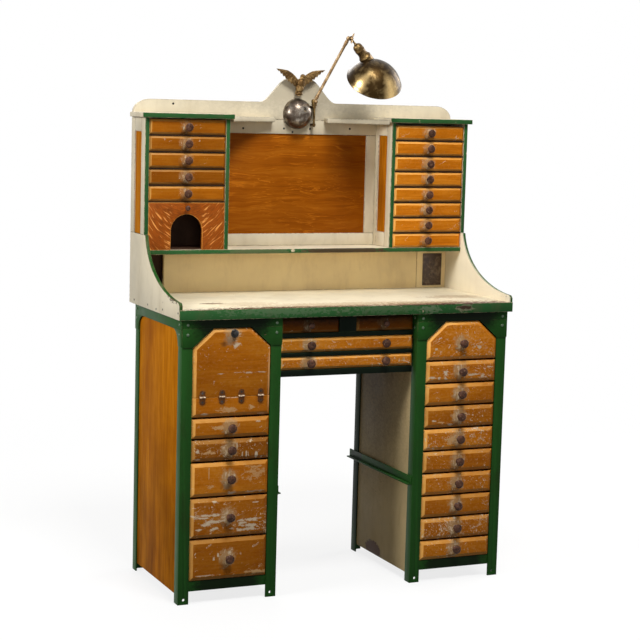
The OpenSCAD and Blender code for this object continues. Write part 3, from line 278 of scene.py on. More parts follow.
@dataclass(frozen=True)
class Mark:
    """A rubbed, stained or chipped place, or a place of painted shade or painted light.

    Attributes:
        middle, half: its middle and half widths, in millimetres.
        colour: its colour.
        ragged: how torn its rim is.
        strength: share of the mark's colour in its middle.
        soft: how far its rim fades, as a share of its half widths.
    """

    middle: Point
    half: Point
    colour: Colour
    ragged: float = 1.2
    strength: float = 1.0
    soft: float = 0.18

    def over(self, s: Shader, colour: Signal, torn: Signal) -> Signal:
        """The colour with the mark over it; torn is a noise that its rim follows."""
        away = s.away(s.place, scaled(self.middle, MM), scaled(self.half, MM)) + torn * self.ragged
        low = 1.0 + 0.5 * self.ragged
        return s.mix(s.step(away, low, low - self.soft) * self.strength, colour, self.colour)


@dataclass(frozen=True)
class Varnish:
    """Grained golden varnish, as painted over plain boards.

    Attributes:
        name: name of the material.
        dark, middle, light: colours of the grain.
        broad, fine: how closely the two layers of grain lie along each axis.
        wander: how far the grain strays, in metres.
        streak: share of pale figure lines.
        scuffed: whether it is a front, with borders painted lit and shaded, a knob's halo with its painted
            shadow, and scuffs.
        fade: height range in millimetres over which the varnish darkens towards the floor.
        gloss: roughness of the sound varnish.
        shine: strength of its reflections.
        marks: places of their own on the pieces.
    """

    name: str
    dark: Colour
    middle: Colour
    light: Colour
    broad: Point = (3.2, 9.0, 18.0)
    fine: Point = (9.0, 30.0, 170.0)
    wander: float = 0.0
    streak: float = 0.0
    scuffed: bool = False
    fade: Pair | None = None
    gloss: float = 0.36
    shine: float = 0.05
    marks: tuple[Mark, ...] = ()

    def build(self) -> bpy.types.Material:
        """Makes the material."""
        s = Shader(self.name, Specular_IOR_Level=self.shine)
        at = self._grain_place(s)
        broad = s.noise(self.broad, 3.0, 0.55, 0.7, at)
        fine = s.noise(self.fine, 5.0, 0.68, source=at)
        colour = s.ramp(broad * 0.5 + fine * 0.5, (0.38, self.dark), (0.5, self.middle), (0.62, self.light))
        if self.streak:
            pale = s.lines(scaled(self.broad, 1.6), 0.03, 1.2, at) * s.patches(11.0, 3.0, 0.5, 0.42, 0.62)
            colour = s.mix(pale * self.streak, colour, shade(self.light, 1.35))
        colour = s.mix(s.patches(5.5, 3.0, 0.6, 0.42, 0.68) * 0.45, colour, shade(self.dark, 0.85))
        if self.fade:
            low = s.step(s.apart(s.place)[2], self.fade[1] * MM, self.fade[0] * MM)
            low = low * s.patches((9, 9, 2.5), 4.0, 0.6, 0.3, 0.7)
            colour = s.mix(low * 0.85, colour, shade(self.dark, 0.4))
        edge = s.attribute("edge") * s.patches(75.0, 3.0, 0.5, 0.4, 0.6)
        colour = s.mix(edge * 0.6, colour, shade(self.light, 1.25))
        height = fine * 0.4
        rough: object = self.gloss
        if self.scuffed:
            colour = self._borders_lit_and_shaded(s, self._mottle(s, colour))
            colour = s.mix(s.step(s.attribute("tone"), 1.0, 0.0), colour, (0.05, 0.009, 0.001))
            colour, pale = self._knob_halo(s, colour)
            pale = s.math("MAXIMUM", pale, self._flecks(s))
            tint = s.ramp(s.noise(90.0), (0.36, (0.46, 0.28, 0.13)), (0.58, (0.8, 0.67, 0.48)))
            colour = s.mix(pale, colour, tint)
            rough = pale * 0.35 + self.gloss
            height = height - pale * 0.7
        torn = s.noise((55, 55, 120), 5.0, 0.75)
        for mark in self.marks:
            colour = mark.over(s, colour, torn)
        return s.finished(colour, rough, height, 0.0004, 0.6)

    def _borders_lit_and_shaded(self, s: Shader, colour: Signal) -> Signal:
        """Sloped borders: a painted highlight on all but those that face right, where the varnish also lies
        thin, and painted shade on the lower ones.
        """
        aside, facing, upward = s.normal()
        sloped = s.step(facing, -0.97, -0.9) * s.step(facing, -0.1, -0.3)
        # Painted highlight on the sloped borders except those facing right, where the varnish also lies thin.
        bright = sloped * s.step(aside, 0.3, -0.2)
        border_highlight = bright * (s.patches((26, 26, 26), 3.0, 0.5, 0.25, 0.55) * 0.35 + 0.6)
        colour = s.mix(border_highlight, colour, (1.0, 0.5, 0.12))
        # Painted shade on the lower borders.
        return s.mix(sloped * s.step(upward, -0.2, -0.4) * 0.25, colour, shade(self.dark, 0.25))

    def _mottle(self, s: Shader, colour: Signal) -> Signal:
        """Dull rubbed speckle that grows with the piece's wear."""
        spots = s.noise((95, 95, 130), 5.0, 0.82)
        colour = s.mix(s.step(spots, 0.47, 0.68) * (s.attribute("wear") * 0.7), colour, (0.72, 0.36, 0.11))
        return s.mix(s.step(spots, 0.44, 0.3) * 0.35, colour, shade(self.dark, 0.45))

    def _knob_halo(self, s: Shader, colour: Signal) -> tuple[Signal, Signal]:
        """Grey smear over each knob, a painted shadow below and left of it, and crumbs of bare wood round it.

        Args:
            s: the shader.
            colour: colour of the varnish.

        Returns:
            The colour with the smears and the painted shadow, and the share of bare wood.
        """
        spot = s.own_map("knob")
        torn = s.noise(85.0, 5.0, 0.78)
        wear = s.step(s.attribute("wear"), -0.15, 0.45)
        # Painted shadow of the knob, below it and to its left.
        under = s.away(spot, (-0.012, -0.017, 0)) + torn * 0.07
        colour = s.mix(s.step(under, 0.059, 0.039) * 0.75, colour, (0.06, 0.022, 0.008))
        around = s.away(spot, (-0.004, 0.004, 0)) + torn * 0.07 + (1.0 - wear) * 0.012
        smear = s.step(around, 0.072, 0.05) * (wear * 0.45 + 0.2)
        colour = s.mix(smear, colour, (0.5, 0.34, 0.17))
        crumbs = s.step(around, 0.066, 0.05) * s.patches((150, 150, 60), 4.0, 0.7, 0.5, 0.62)
        return colour, crumbs * 0.75

    def _flecks(self, s: Shader) -> Signal:
        """Share of bare wood in small flecks, nicks and scratches."""
        wear = s.attribute("wear")
        coarse = s.noise(26.0, 3.0, 0.7, 0.6)
        level = wear * 0.2 + s.noise(7.0) * 0.35
        flat = s.noise((70, 70, 190), 3.0, 0.62, turn=(0, -24, 0))
        upright = s.noise((210, 210, 80), 3.0, 0.62, turn=(0, 18, 0))
        fleck = s.step(s.math("MAXIMUM", flat, upright) + level, 0.97, 1.03)
        line = s.lines((9, 9, 34), 0.008, 0.3, turn=(0, 24, 0))
        return s.math("MAXIMUM", fleck, line * s.step(coarse + wear * 0.1, 0.6, 0.68))

    def _grain_place(self, s: Shader) -> Signal:
        """Coordinates in which the grain runs straight."""
        if not self.wander:
            return s.place
        feeds = {0: s.noise(4.5, out=1), 1: (self.wander,) * 3, 2: s.place}
        return s.vector("MULTIPLY_ADD", feeds)


@dataclass(frozen=True)
class CombedGrain:
    """Reddish varnish combed with pale strokes that lean inwards from both sides.

    Attributes:
        name: name of the material.
        ground: colour of the varnish.
        stroke: colour of the strokes.
        middle: place across the bench, in millimetres, that the strokes mirror about.
    """

    name: str
    ground: Colour
    stroke: Colour
    middle: float

    def build(self) -> bpy.types.Material:
        """Makes the material."""
        s = Shader(self.name, Specular_IOR_Level=0.15)
        x, _, z = s.apart(s.place)
        side = x - self.middle * MM
        off = s.math("ABSOLUTE", side)
        run = z - off * off * 5.2 + s.noise(11.0) * 0.03
        at = s.made("CombineXYZ", {0: off, 1: s.math("SIGN", side), 2: run})
        strokes = s.noise((24, 7, 105), 2.0, 0.6, source=at)
        fine = s.noise((40, 7, 420), 4.0, 0.7, source=at)
        dark, pale = shade(self.ground, 0.6), shade(self.ground, 1.5)
        colour = s.ramp(fine, (0.36, dark), (0.5, self.ground), (0.64, pale))
        colour = s.mix(s.patches(24.0, 3.0, 0.6, 0.5, 0.7) * 0.4, colour, shade(self.ground, 0.4))
        share = s.step(strokes, 0.55, 0.64) * (s.step(off, 0.048, 0.062) * 0.95) * s.step(fine, 0.3, 0.5)
        colour = s.mix(share, colour, self.stroke)
        colour = s.mix(s.attribute("edge") * 0.8, colour, (0.9, 0.42, 0.08))
        return s.finished(colour, fine * 0.2 + 0.28, share * 0.6 + fine, 0.0003, 0.6)


@dataclass(frozen=True)
class OldPaint:
    """Brushed paint, dulled by dirt and chipped down to what lies under it.

    Attributes:
        name: name of the material.
        colour: colour of the paint.
        dirt: colour that the paint dulls to.
        under: colour that chips show.
        chips: from 0, sound, to 1, badly chipped.
        gloss: roughness of the sound paint.
        grime: how strongly the dirt shows.
        marks: places of their own on the piece.
        rim: colour of the narrow edges that face neither left nor right, if they are painted apart.
        shine: strength of its reflections.
    """

    name: str
    colour: Colour
    dirt: Colour
    under: Colour
    chips: float = 0.3
    gloss: float = 0.4
    grime: float = 0.5
    marks: tuple[Mark, ...] = ()
    rim: Colour | None = None
    shine: float = 0.05

    def build(self) -> bpy.types.Material:
        """Makes the material."""
        s = Shader(self.name, Specular_IOR_Level=self.shine)
        colour = self._paint(s, self.colour)
        if self.rim:
            across = s.math("ABSOLUTE", s.normal()[0]) + s.noise(40.0) * 0.1
            colour = s.mix(s.step(across, 0.9, 0.5), colour, self._paint(s, self.rim))
        coarse = s.noise(9.0, 3.0, 0.6)
        bare = s.noise(42.0, 5.0, 0.7) + coarse * 0.35
        bare = s.step(bare, 0.93 - 0.08 * self.chips, 0.95 - 0.08 * self.chips)
        edge = s.attribute("edge") * s.patches(60.0, 4.0, 0.7, 0.6, 0.52)
        bare = s.math("MAXIMUM", bare, edge * min(1.0, 0.25 + self.chips))
        under = s.ramp(s.noise(70.0, 3.0), (0.38, shade(self.under, 0.5)), (0.6, shade(self.under, 1.5)))
        colour = s.mix(bare, colour, under)
        torn = s.noise((70, 70, 110), 5.0, 0.78)
        for mark in self.marks:
            colour = mark.over(s, colour, torn)
        brush = s.noise((14, 60, 90), 4.0, 0.6)
        return s.finished(colour, coarse * 0.25 + (self.gloss - 0.1), brush * 0.35 - bare, 0.0004, 0.7)

    def _paint(self, s: Shader, colour: Colour) -> Signal:
        """The sound paint, uneven and dulled."""
        tone = s.noise(3.2, 4.0, 0.6, 0.4)
        paint = s.ramp(tone, (0.3, shade(colour, 0.82)), (0.5, colour), (0.7, shade(colour, 1.1)))
        return s.mix(s.patches((16, 16, 5), 5.0, 0.7, 0.46, 0.74) * self.grime, paint, self.dirt)


@dataclass(frozen=True)
class Metal:
    """Worn metal.

    Attributes:
        name: name of the material.
        bright: colour where it is polished.
        dull: colour of the tarnish.
        gloss: roughness where it is polished.
        tarnish: from 0, clean, to 1, mostly dull.
        reflection_bands: painted reflections on a spun piece, bright bands where its highlights fall, as turn
            from 0 to 1, narrowness and strength.
        rubbed: height and half height of a band rubbed bright and painted as a highlight, in millimetres.
    """

    name: str
    bright: Colour
    dull: Colour
    gloss: float = 0.3
    tarnish: float = 0.5
    reflection_bands: tuple[Point, ...] = ()
    rubbed: Pair | None = None

    def build(self) -> bpy.types.Material:
        """Makes the material."""
        s = Shader(self.name, Metallic=1.0)
        cloud = s.noise(38.0, 5.0, 0.65, 0.3)
        spots = s.noise(170.0, 3.0, 0.6)
        dull = 1.0 - s.step(cloud, 0.75 - 0.4 * self.tarnish, 0.35 - 0.3 * self.tarnish)
        # On a spun piece the bands are painted reflections, placed where its highlights fall.
        if self.reflection_bands:
            dull = s.math("SUBTRACT", 1.0, self._painted_reflections(s, cloud), True)
        colour = s.mix(dull, self.bright, self.dull)
        colour = s.mix(s.step(spots, 0.6, 0.7) * 0.5, colour, shade(self.dull, 0.5))
        # The rubbed band is also a painted highlight along a hinge knuckle's top.
        if self.rubbed:
            height, half = (value * MM for value in self.rubbed)
            away = s.math("ABSOLUTE", s.apart(s.place)[2] - height)
            colour = s.mix(s.step(away, half * 1.3, half), colour, (0.5, 0.4, 0.29))
        colour = s.mix(s.attribute("edge") * 0.5, colour, shade(self.bright, 1.25))
        return s.finished(colour, dull * 0.22 + self.gloss, spots + cloud, 0.00012, 0.5)

    def _painted_reflections(self, s: Shader, cloud: Signal) -> Signal:
        """Share of painted reflection in the bands, which fade at the pole of the spun piece."""
        turn, height, _ = s.apart(s.own_map("spin"))
        bright: object = 0.0
        for place, narrow, strength in self.reflection_bands:
            wave = s.math("MAXIMUM", s.math("COSINE", (turn - place) * (2 * math.pi)), 0.0)
            bright = s.math("ADD", bright, s.math("POWER", wave, narrow) * strength)
        return s.math("ADD", bright * s.step(height, -0.97, -0.72), (cloud - 0.5) * 0.8, True)


@dataclass(frozen=True)
class PlainWood:
    """Bare or stained wood that is turned or sawn, with its grain along one axis.

    Attributes:
        name: name of the material.
        dark, light: colours of the grain.
        grain: how closely the grain lies along each axis.
        gloss: roughness, give or take its grain.
        rubbed: colour of worn specks, if it has them.
        shine: strength of its reflections.
    """

    name: str
    dark: Colour
    light: Colour
    grain: Point = (60.0, 4.0, 60.0)
    gloss: float = 0.6
    rubbed: Colour | None = None
    shine: float = 0.1

    def build(self) -> bpy.types.Material:
        """Makes the material."""
        s = Shader(self.name, Specular_IOR_Level=self.shine)
        fine = s.noise(self.grain, 5.0, 0.65, 0.4)
        colour = s.ramp(fine * 0.7 + s.noise(12.0, 3.0) * 0.3, (0.38, self.dark), (0.62, self.light))
        if self.rubbed:
            colour = s.mix(s.patches(120.0, 4.0, 0.7, 0.56, 0.68) * 0.55, colour, self.rubbed)
        colour = s.mix(s.attribute("edge") * 0.4, colour, shade(self.light, 1.2))
        return s.finished(colour, fine * 0.3 + (self.gloss - 0.15), fine, 0.0003, 0.5)


@dataclass(frozen=True)
class Moulding:
    """Hard glossy moulding, dusty in its corners.

    Attributes:
        name: name of the material.
        colour: colour of the moulding.
        dust: colour of the dust.
        gloss: roughness, give or take the dust.
    """

    name: str
    colour: Colour
    dust: Colour
    gloss: float = 0.3

    def build(self) -> bpy.types.Material:
        """Makes the material."""
        s = Shader(self.name)
        dust = s.noise(55.0, 4.0, 0.65)
        colour = s.mix(s.step(dust, 0.45, 0.75), self.colour, self.dust)
        return s.finished(colour, dust * 0.4 + (self.gloss - 0.1), dust, 0.0001, 0.4)


@dataclass(frozen=True)
class OpalGlass:
    """White glass of the bulb, with faint dust."""

    name: str

    def build(self) -> bpy.types.Material:
        """Makes the material."""
        s = Shader(self.name, Transmission_Weight=0.25, IOR=1.5)
        dust = s.noise(60.0, 3.0)
        colour = s.ramp(dust, (0.35, (0.86, 0.84, 0.78)), (0.6, (0.95, 0.94, 0.9)))
        return s.finished(colour, dust * 0.15 + 0.08)


PEDESTAL_X = 422.5
FRONT_Y = -241.0
DESK_TOP = 971.0

BROWN: Colour = (0.11, 0.055, 0.03)
RUST: Colour = (0.16, 0.1, 0.06)
CREAM: Colour = (0.69, 0.61, 0.45)
CREAM_DIRT: Colour = (0.42, 0.33, 0.2)
GREEN: Colour = (0.016, 0.072, 0.012)
GREEN_DIRT: Colour = (0.02, 0.034, 0.008)
WOOD: Colour = (0.66, 0.54, 0.38)
SCUFF: Colour = (0.6, 0.36, 0.16)
RIM: Colour = (0.95, 0.48, 0.18)
# Dark brown grime with painted shade, under the latch and round the hinges.
SMUDGE_AND_SHADE: Colour = (0.05, 0.022, 0.012)
# Near-black colour of painted shade.
PAINTED_SHADE: Colour = (0.003, 0.004, 0.002)
RUBBED_DESK: Colour = (0.5, 0.37, 0.22)
CORNER_DIRT: Colour = (0.07, 0.045, 0.028)
SAWN: Point = (9.0, 60.0, 5.0)


def spot(
    x: float, z: float, half_x: float, half_z: float, colour: Colour = WOOD,
    ragged: float = 5.0, strength: float = 0.9, soft: float = 0.3,
) -> Mark:
    """A mark on a pedestal's fronts: its middle and half widths across and up, in millimetres."""
    return Mark((x, FRONT_Y, z), (half_x, 30.0, half_z), colour, ragged, strength, soft)


def spots(*rows: Sequence) -> tuple[Mark, ...]:
    """Marks on a pedestal's fronts, each row as spot takes it."""
    return tuple(spot(*row) for row in rows)


def painted_shade_pair(x: float, y: float, z: float, half: Point, strength: float, soft: float) -> tuple[Mark, ...]:
    """Painted shade at the same place to the left and to the right of the bench's middle."""
    return tuple(Mark((side * x, y, z), half, PAINTED_SHADE, 0.6, strength, soft) for side in BOTH)


def on_top(x: float, y: float, half: Point, *rest: object) -> Mark:
    """A mark on the desktop."""
    return Mark((x, y, DESK_TOP), half, *rest)


FLAP_MARKS = spots(
    (-434, 868, 26, 26, (0.3, 0.2, 0.12), 1.8, 0.7, 0.8), (-452, 858, 17, 14, SMUDGE_AND_SHADE, 1.2, 0.7, 0.9),
    (-412, 853, 14, 12, WOOD, 5.1, 0.85, 0.5), (-459, 760, 14, 2.5, WOOD, 4.5),
    (-399, 763, 13, 2, WOOD, 5.8, 0.7), (-367, 761, 13, 2.5, WOOD, 5.8, 0.8),
    (-315, 762, 19, 2, WOOD, 5.1, 0.7), (-419, 681, 26, 2, WOOD, 3.8, 0.7),
    (-514, 629, 11, 3.5, WOOD, 4.5, 0.8), (-354, 648, 11, 7, SCUFF, 5.8),
    (-314, 624, 17, 2.5, WOOD, 5.1, 0.7), (-432, 640, 30, 8, SCUFF, 7.7, 0.8),
    (-292, 735, 5, 120, RIM, 0.6, 0.8, 0.4),
    *((-293 - 14 * step, 852 + 12.4 * step, 9, 8, RIM, 0.6, 0.8, 0.5) for step in range(5)),
    *((step * 67.5 - PEDESTAL_X, 681, 19, 33, SMUDGE_AND_SHADE, 2.0, 0.85, 1.0) for step in (-1.5, -0.5, 0.5, 1.5)),
)
LEFT_MARKS = spots(
    (-500, 294, 44, 4.5), (-480, 272, 44, 5.5), (-505, 263, 20, 4), (-529, 248, 11, 4), (-475, 247, 13, 4.5),
    (-412, 246, 10, 5), (-351, 251, 43, 5), (-350, 239, 44, 5), (-351, 271, 37, 5), (-374, 261, 16, 4),
    (-474, 336, 11, 4), (-329, 328, 13, 2), (-518, 286, 24, 3), (-332, 487, 6, 14, WOOD, 0.6, 1.0),
    (-367, 492, 3, 10, WOOD, 3.2), (-381, 491, 2.5, 7, WOOD, 3.2), (-313, 479, 3, 4, WOOD, 3.2),
    (-536, 509, 6, 7, WOOD, 5.8), (-497, 503, 18, 7, SCUFF, 7.0), (-539, 481, 11, 2.5, WOOD, 5.1),
    (-400, 521, 2, 13, WOOD, 2.6, 0.7), (-326, 598, 10, 3.5, WOOD, 4.5, 0.7), (-461, 585, 19, 7, SCUFF, 7.0),
    (-496, 434, 1.8, 26, SCUFF, 1.9), (-491, 392, 11, 7, SCUFF, 6.4), (-418, 366, 18, 6, WOOD, 5.8),
    (-434, 386, 17, 14, (0.3, 0.2, 0.11), 1.4, 0.7, 0.7), (-334, 365, 24, 3, WOOD, 7.0, 0.8),
    (-336, 425, 31, 22, SCUFF, 9.0, 0.7), (-474, 149, 6, 9, WOOD, 5.8), (-459, 159, 3, 9, WOOD, 3.8),
    (-507, 93, 42, 1.8, WOOD, 5.8, 0.7), (-320, 93, 33, 8, SCUFF, 8.3),
)
RIGHT_MARKS = spots(
    (490, 817, 9, 6, WOOD, 4.5, 0.8), (322, 815, 7, 4, WOOD, 4.5), (314, 803, 4, 3, WOOD, 3.8),
    (307, 716, 16, 4), (338, 713, 5, 7), (362, 727, 9, 14, WOOD, 6.4), (473, 722, 17, 4), (505, 716, 8, 7),
    (529, 746, 15, 4), (410, 668, 6, 5, SCUFF, 4.5), (322, 565, 9, 3, WOOD, 4.5),
    (385, 551, 11, 4.5, WOOD, 4.5),
    (400, 579, 5, 13, SCUFF, 5.8), (348, 559, 14, 2, SCUFF, 5.1), (389, 494, 22, 13, SCUFF, 7.7),
)
# Painted shade on the plates under the desktop's edge.
PLATE_PAINTED_SHADE = painted_shade_pair(PEDESTAL_X, -243.0, 932, (166, 20, 100), 0.93, 0.4)
# Painted shade on the frames: the recessed bottom rails and inside the kneehole.
FRAME_PAINTED_SHADE = (
    *painted_shade_pair(PEDESTAL_X, -243.0, 58, (146, 20, 40), 0.85, 0.3),
    *painted_shade_pair(250.0, 205.0, 470, (40, 60, 560), 0.8, 0.4),
    *painted_shade_pair(250.0, 60.0, 425, (60, 190, 60), 0.6, 0.6),
)
DESK_MARKS = (
    on_top(-440, -93, (46, 20, 6), (0.2, 0.12, 0.06), 1.6, 0.85),
    on_top(-160, -250, (430, 40, 20), (0.08, 0.035, 0.02), 4.0, 1.0),
    on_top(330, -245, (290, 66, 20), (0.1, 0.04, 0.025), 4.0, 1.0),
    on_top(480, -60, (110, 44, 20), (0.4, 0.27, 0.16), 4.2, 0.6),
    on_top(60, -195, (460, 50, 12), RUBBED_DESK, 4.2, 0.6),
    on_top(-330, -120, (120, 50, 8), RUBBED_DESK, 4.0, 0.4),
)
TRIM_MARKS = (
    Mark((133, 117, 1122), (172, 14, 12), (0.075, 0.045, 0.028), 1.5, 0.9),
    Mark((-65, 115, 1124), (9, 8, 6), (0.62, 0.52, 0.36), 0.8),
    Mark((293, -254, 955), (36, 6, 12), (0.2, 0.24, 0.15), 5.5, 0.5),
    Mark((424, -254, 956), (34, 6, 13), (0.36, 0.3, 0.2), 3.6, 0.6),
    Mark((424, -254, 958), (28, 6, 8), (0.05, 0.024, 0.016), 3.4, 0.95),
    Mark((-40, -254, 976), (590, 5, 6), (0.05, 0.027, 0.018), 3.5, 0.95),
    Mark((300, -254, 975), (260, 5, 7), (0.06, 0.025, 0.018), 3.5, 0.95),
    Mark((-250, -254, 962), (190, 6, 14), (0.14, 0.2, 0.11), 7.0, 0.4),
    Mark((120, -254, 960), (160, 6, 14), (0.12, 0.17, 0.09), 7.0, 0.4),
    Mark((-190, 115, 1122), (150, 14, 12), (0.2, 0.18, 0.1), 4.0, 0.35),
)
SIDE_MARKS = (
    # Lighter paint over the right side board's inner face: painted light.
    Mark((598, -60, 1040), (6, 420, 230), (0.94, 0.84, 0.63), 0.3, 0.45, 0.2),
    Mark((-612, -196, 1004), (10, 62, 14), CORNER_DIRT, 4.0, 0.85),
    Mark((616, -215, 988), (14, 40, 14), CORNER_DIRT, 4.0, 0.85),
)
CREST_SHADE = (Mark((0, 260, 1720), (700, 40, 160), (0.46, 0.4, 0.29), 0.8, 0.9, 0.6),)
KNEE_SHADE_AND_STAIN = (
    # Painted shade over the kneehole panel, deepest high up; then a stain at its foot.
    Mark((262, 130, 700), (60, 440, 580), (0.04, 0.02, 0.007), 0.6, 0.9, 1.0),
    Mark((262, 60, 44), (30, 72, 36), (0.09, 0.035, 0.02), 0.7, 0.95),
)
DESK_SHADE = (Mark((0, -218, 945), (900, 60, 62), (0.01, 0.005, 0.003), 0.5, 0.96, 0.75),)


def fronts(name: str, wander: float, marks: tuple[Mark, ...] = ()) -> Varnish:
    """Golden varnish of scuffed fronts."""
    gold = (0.5, 0.135, 0.003), (0.62, 0.185, 0.006), (0.7, 0.245, 0.016)
    return Varnish(name, *gold, wander=wander, scuffed=True, marks=marks)


class Finish(Enum):
    """The finishes of the bench."""

    STEEL_PAINT = OldPaint("green_enamel", GREEN, GREEN_DIRT, RUST, 0.55, 0.36, 0.55, FRAME_PAINTED_SHADE)
    PLATE_PAINT = OldPaint("plate_enamel", GREEN, GREEN_DIRT, RUST, 0.5, 0.36, 0.5, PLATE_PAINTED_SHADE)
    RIVET_PAINT = OldPaint(
        "rivet_enamel", (0.05, 0.1, 0.04), GREEN_DIRT, (0.5, 0.45, 0.34), 0.5, 0.25, 0.2, shine=0.6
    )
    # Near-black rails: dark green darkened as painted shade under the desktop's edge.
    RAIL_PAINT = OldPaint(
        "dark_rail_paint", (0.004, 0.008, 0.004), (0.004, 0.004, 0.003), (0.03, 0.05, 0.02), 0.4, 0.5, 0.6
    )
    TRIM_PAINT = OldPaint(
        "green_trim_paint", (0.028, 0.105, 0.03), (0.075, 0.1, 0.042), (0.42, 0.34, 0.22),
        0.9, 0.42, 0.6, TRIM_MARKS,
    )
    CREAM_PAINT = OldPaint("cream_paint", CREAM, CREAM_DIRT, BROWN, 0.3, 0.42, 0.3, CREST_SHADE)
    TAN_PAINT = OldPaint("tan_cream_paint", (0.92, 0.74, 0.42), (0.62, 0.45, 0.23), BROWN, 0.2, 0.45, 0.3)
    DESK_PAINT = OldPaint(
        "desktop_paint", (0.76, 0.68, 0.5), (0.56, 0.43, 0.27), (0.2, 0.12, 0.07),
        0.35, 0.38, 0.35, DESK_MARKS,
    )
    SIDE_PAINT = OldPaint("side_board_paint", CREAM, CREAM_DIRT, BROWN, 0.35, 0.42, 0.35, SIDE_MARKS, GREEN)
    KNEE_PAINT = OldPaint(
        "kneehole_paint", (0.62, 0.47, 0.24), (0.42, 0.29, 0.13), BROWN, 0.3, 0.45, 0.5, KNEE_SHADE_AND_STAIN
    )
    LEFT_FRONTS = fronts("left_pedestal_fronts", 0.02, LEFT_MARKS)
    FLAP_FRONTS = fronts("flap_fronts", 0.02, FLAP_MARKS)
    RIGHT_FRONTS = fronts("right_pedestal_fronts", 0.02, RIGHT_MARKS)
    FRONTS = fronts("varnished_fronts", 0.012)
    SMALL_FRONTS = fronts("small_centre_fronts", 0.012, DESK_SHADE)
    SIDES = Varnish(
        "varnished_sides", (0.31, 0.086, 0.002), (0.44, 0.142, 0.004), (0.56, 0.2, 0.01),
        (12.0, 12.0, 1.4), (90.0, 90.0, 5.0), 0.02, fade=(60, 620), gloss=0.45, shine=0.005,
    )
    CENTRE = Varnish(
        "grained_panel", (0.25, 0.06, 0.002), (0.33, 0.087, 0.003), (0.4, 0.12, 0.006),
        (3.0, 3.0, 30.0), (8.0, 8.0, 170.0), 0.05, streak=0.95, gloss=0.33,
    )
    ARCH = CombedGrain("combed_grain", (0.3, 0.068, 0.004), (0.85, 0.36, 0.08), -459.0)
    RECESS = PlainWood("dark_stained_wood", (0.03, 0.014, 0.008), (0.07, 0.035, 0.02), SAWN)
    BARE_WOOD = PlainWood("bare_wood", (0.24, 0.13, 0.06), (0.47, 0.31, 0.16))
    KNOBS = PlainWood(
        "turned_knobs", (0.028, 0.011, 0.006), (0.12, 0.05, 0.028), (70.0, 30.0, 70.0),
        0.3, (0.36, 0.21, 0.13), 0.12,
    )
    DIVIDERS = PlainWood("dark_divider_edges", (0.02, 0.01, 0.005), (0.05, 0.026, 0.012), SAWN, 0.7)
    # Its rubbed band along the knuckles is partly a painted highlight.
    HINGES = Metal(
        "varnished_hinges", (0.4, 0.24, 0.12), (0.09, 0.035, 0.012), 0.4, 0.75, rubbed=(686.8, 1.5)
    )
    DULL_STEEL = Metal("dull_steel", (0.42, 0.38, 0.31), (0.13, 0.1, 0.07), 0.42, 0.6)
    BLACK_STEEL = Metal("black_steel", (0.12, 0.12, 0.13), (0.03, 0.028, 0.026), 0.35, 0.5)
    NICKEL = Metal("old_nickel", (0.46, 0.41, 0.34), (0.08, 0.06, 0.045), 0.15, 0.42)
    LAMP_BRASS = Metal("lamp_brass", (0.36, 0.235, 0.09), (0.085, 0.05, 0.018), 0.27, 0.5)
    ARM_BRASS = Metal("arm_brass", (0.66, 0.47, 0.26), (0.24, 0.15, 0.075), 0.3, 0.35)
    CAST_BRASS = Metal("cast_brass", (0.44, 0.29, 0.12), (0.1, 0.055, 0.02), 0.3, 0.45)
    # Its two bands are painted reflections of the lamps.
    SHADE_BRASS = Metal(
        "spun_brass", (0.66, 0.46, 0.2), (0.032, 0.018, 0.006), 0.2, 0.6,
        ((0.68, 28.0, 1.0), (0.9, 50.0, 0.8)),
    )
    BROWN_MOULDING = Moulding("brown_moulding", (0.05, 0.026, 0.017), (0.16, 0.11, 0.07))
    DARK_GAP = Moulding("dark_gap", (0.01, 0.009, 0.008), (0.03, 0.026, 0.02), 0.7)
    BULB = OpalGlass("opal_glass")


@functools.cache
def material_of(finish: Finish) -> bpy.types.Material:
    """Material of a finish, made the first time it is asked for."""
    return finish.value.build()


# Shapes


def moved(x: float, y: float, z: float) -> Matrix:
    """Place given in millimetres."""
    return Matrix.Translation((x * MM, y * MM, z * MM))


def turned_by(degrees: float, axis: str) -> Matrix:
    """Turn about an axis."""
    return Matrix.Rotation(math.radians(degrees), 4, axis)


def aimed(origin: Sequence[float], along: Sequence[float]) -> Matrix:
    """Place in millimetres whose own Z runs along a direction."""
    return moved(*origin) @ Vector(along).to_track_quat("Z", "Y").to_matrix().to_4x4()


def heading(azimuth: float, slope: float) -> Vector:
    """Direction from its angle round the vertical, from +X, and its slope above level."""
    turn, rise = math.radians(azimuth), math.radians(slope)
    return Vector((math.cos(turn) * math.cos(rise), math.sin(turn) * math.cos(rise), math.sin(rise)))


def arc(
    radius: float, degrees: Iterable[float], middle: Pair = (0, 0), tall: float | None = None
) -> list[Pair]:
    """Points on a circle or an ellipse.

    Args:
        radius: half width.
        degrees: turn of each point from the first axis.
        middle: the middle.
        tall: half height, if it isn't the radius.

    Returns:
        The points.
    """
    tall = tall or radius
    turns = [math.radians(a) for a in degrees]
    return [(middle[0] + radius * math.cos(a), middle[1] + tall * math.sin(a)) for a in turns]


def linked(name: str, data: bpy.types.ID, place: Matrix = Matrix.Identity(4)) -> bpy.types.Object:
    """New object in the scene."""
    made = bpy.data.objects.new(name, data)
    bpy.context.scene.collection.objects.link(made)
    made.matrix_world = place
    return made


FORWARD = turned_by(90, "X")


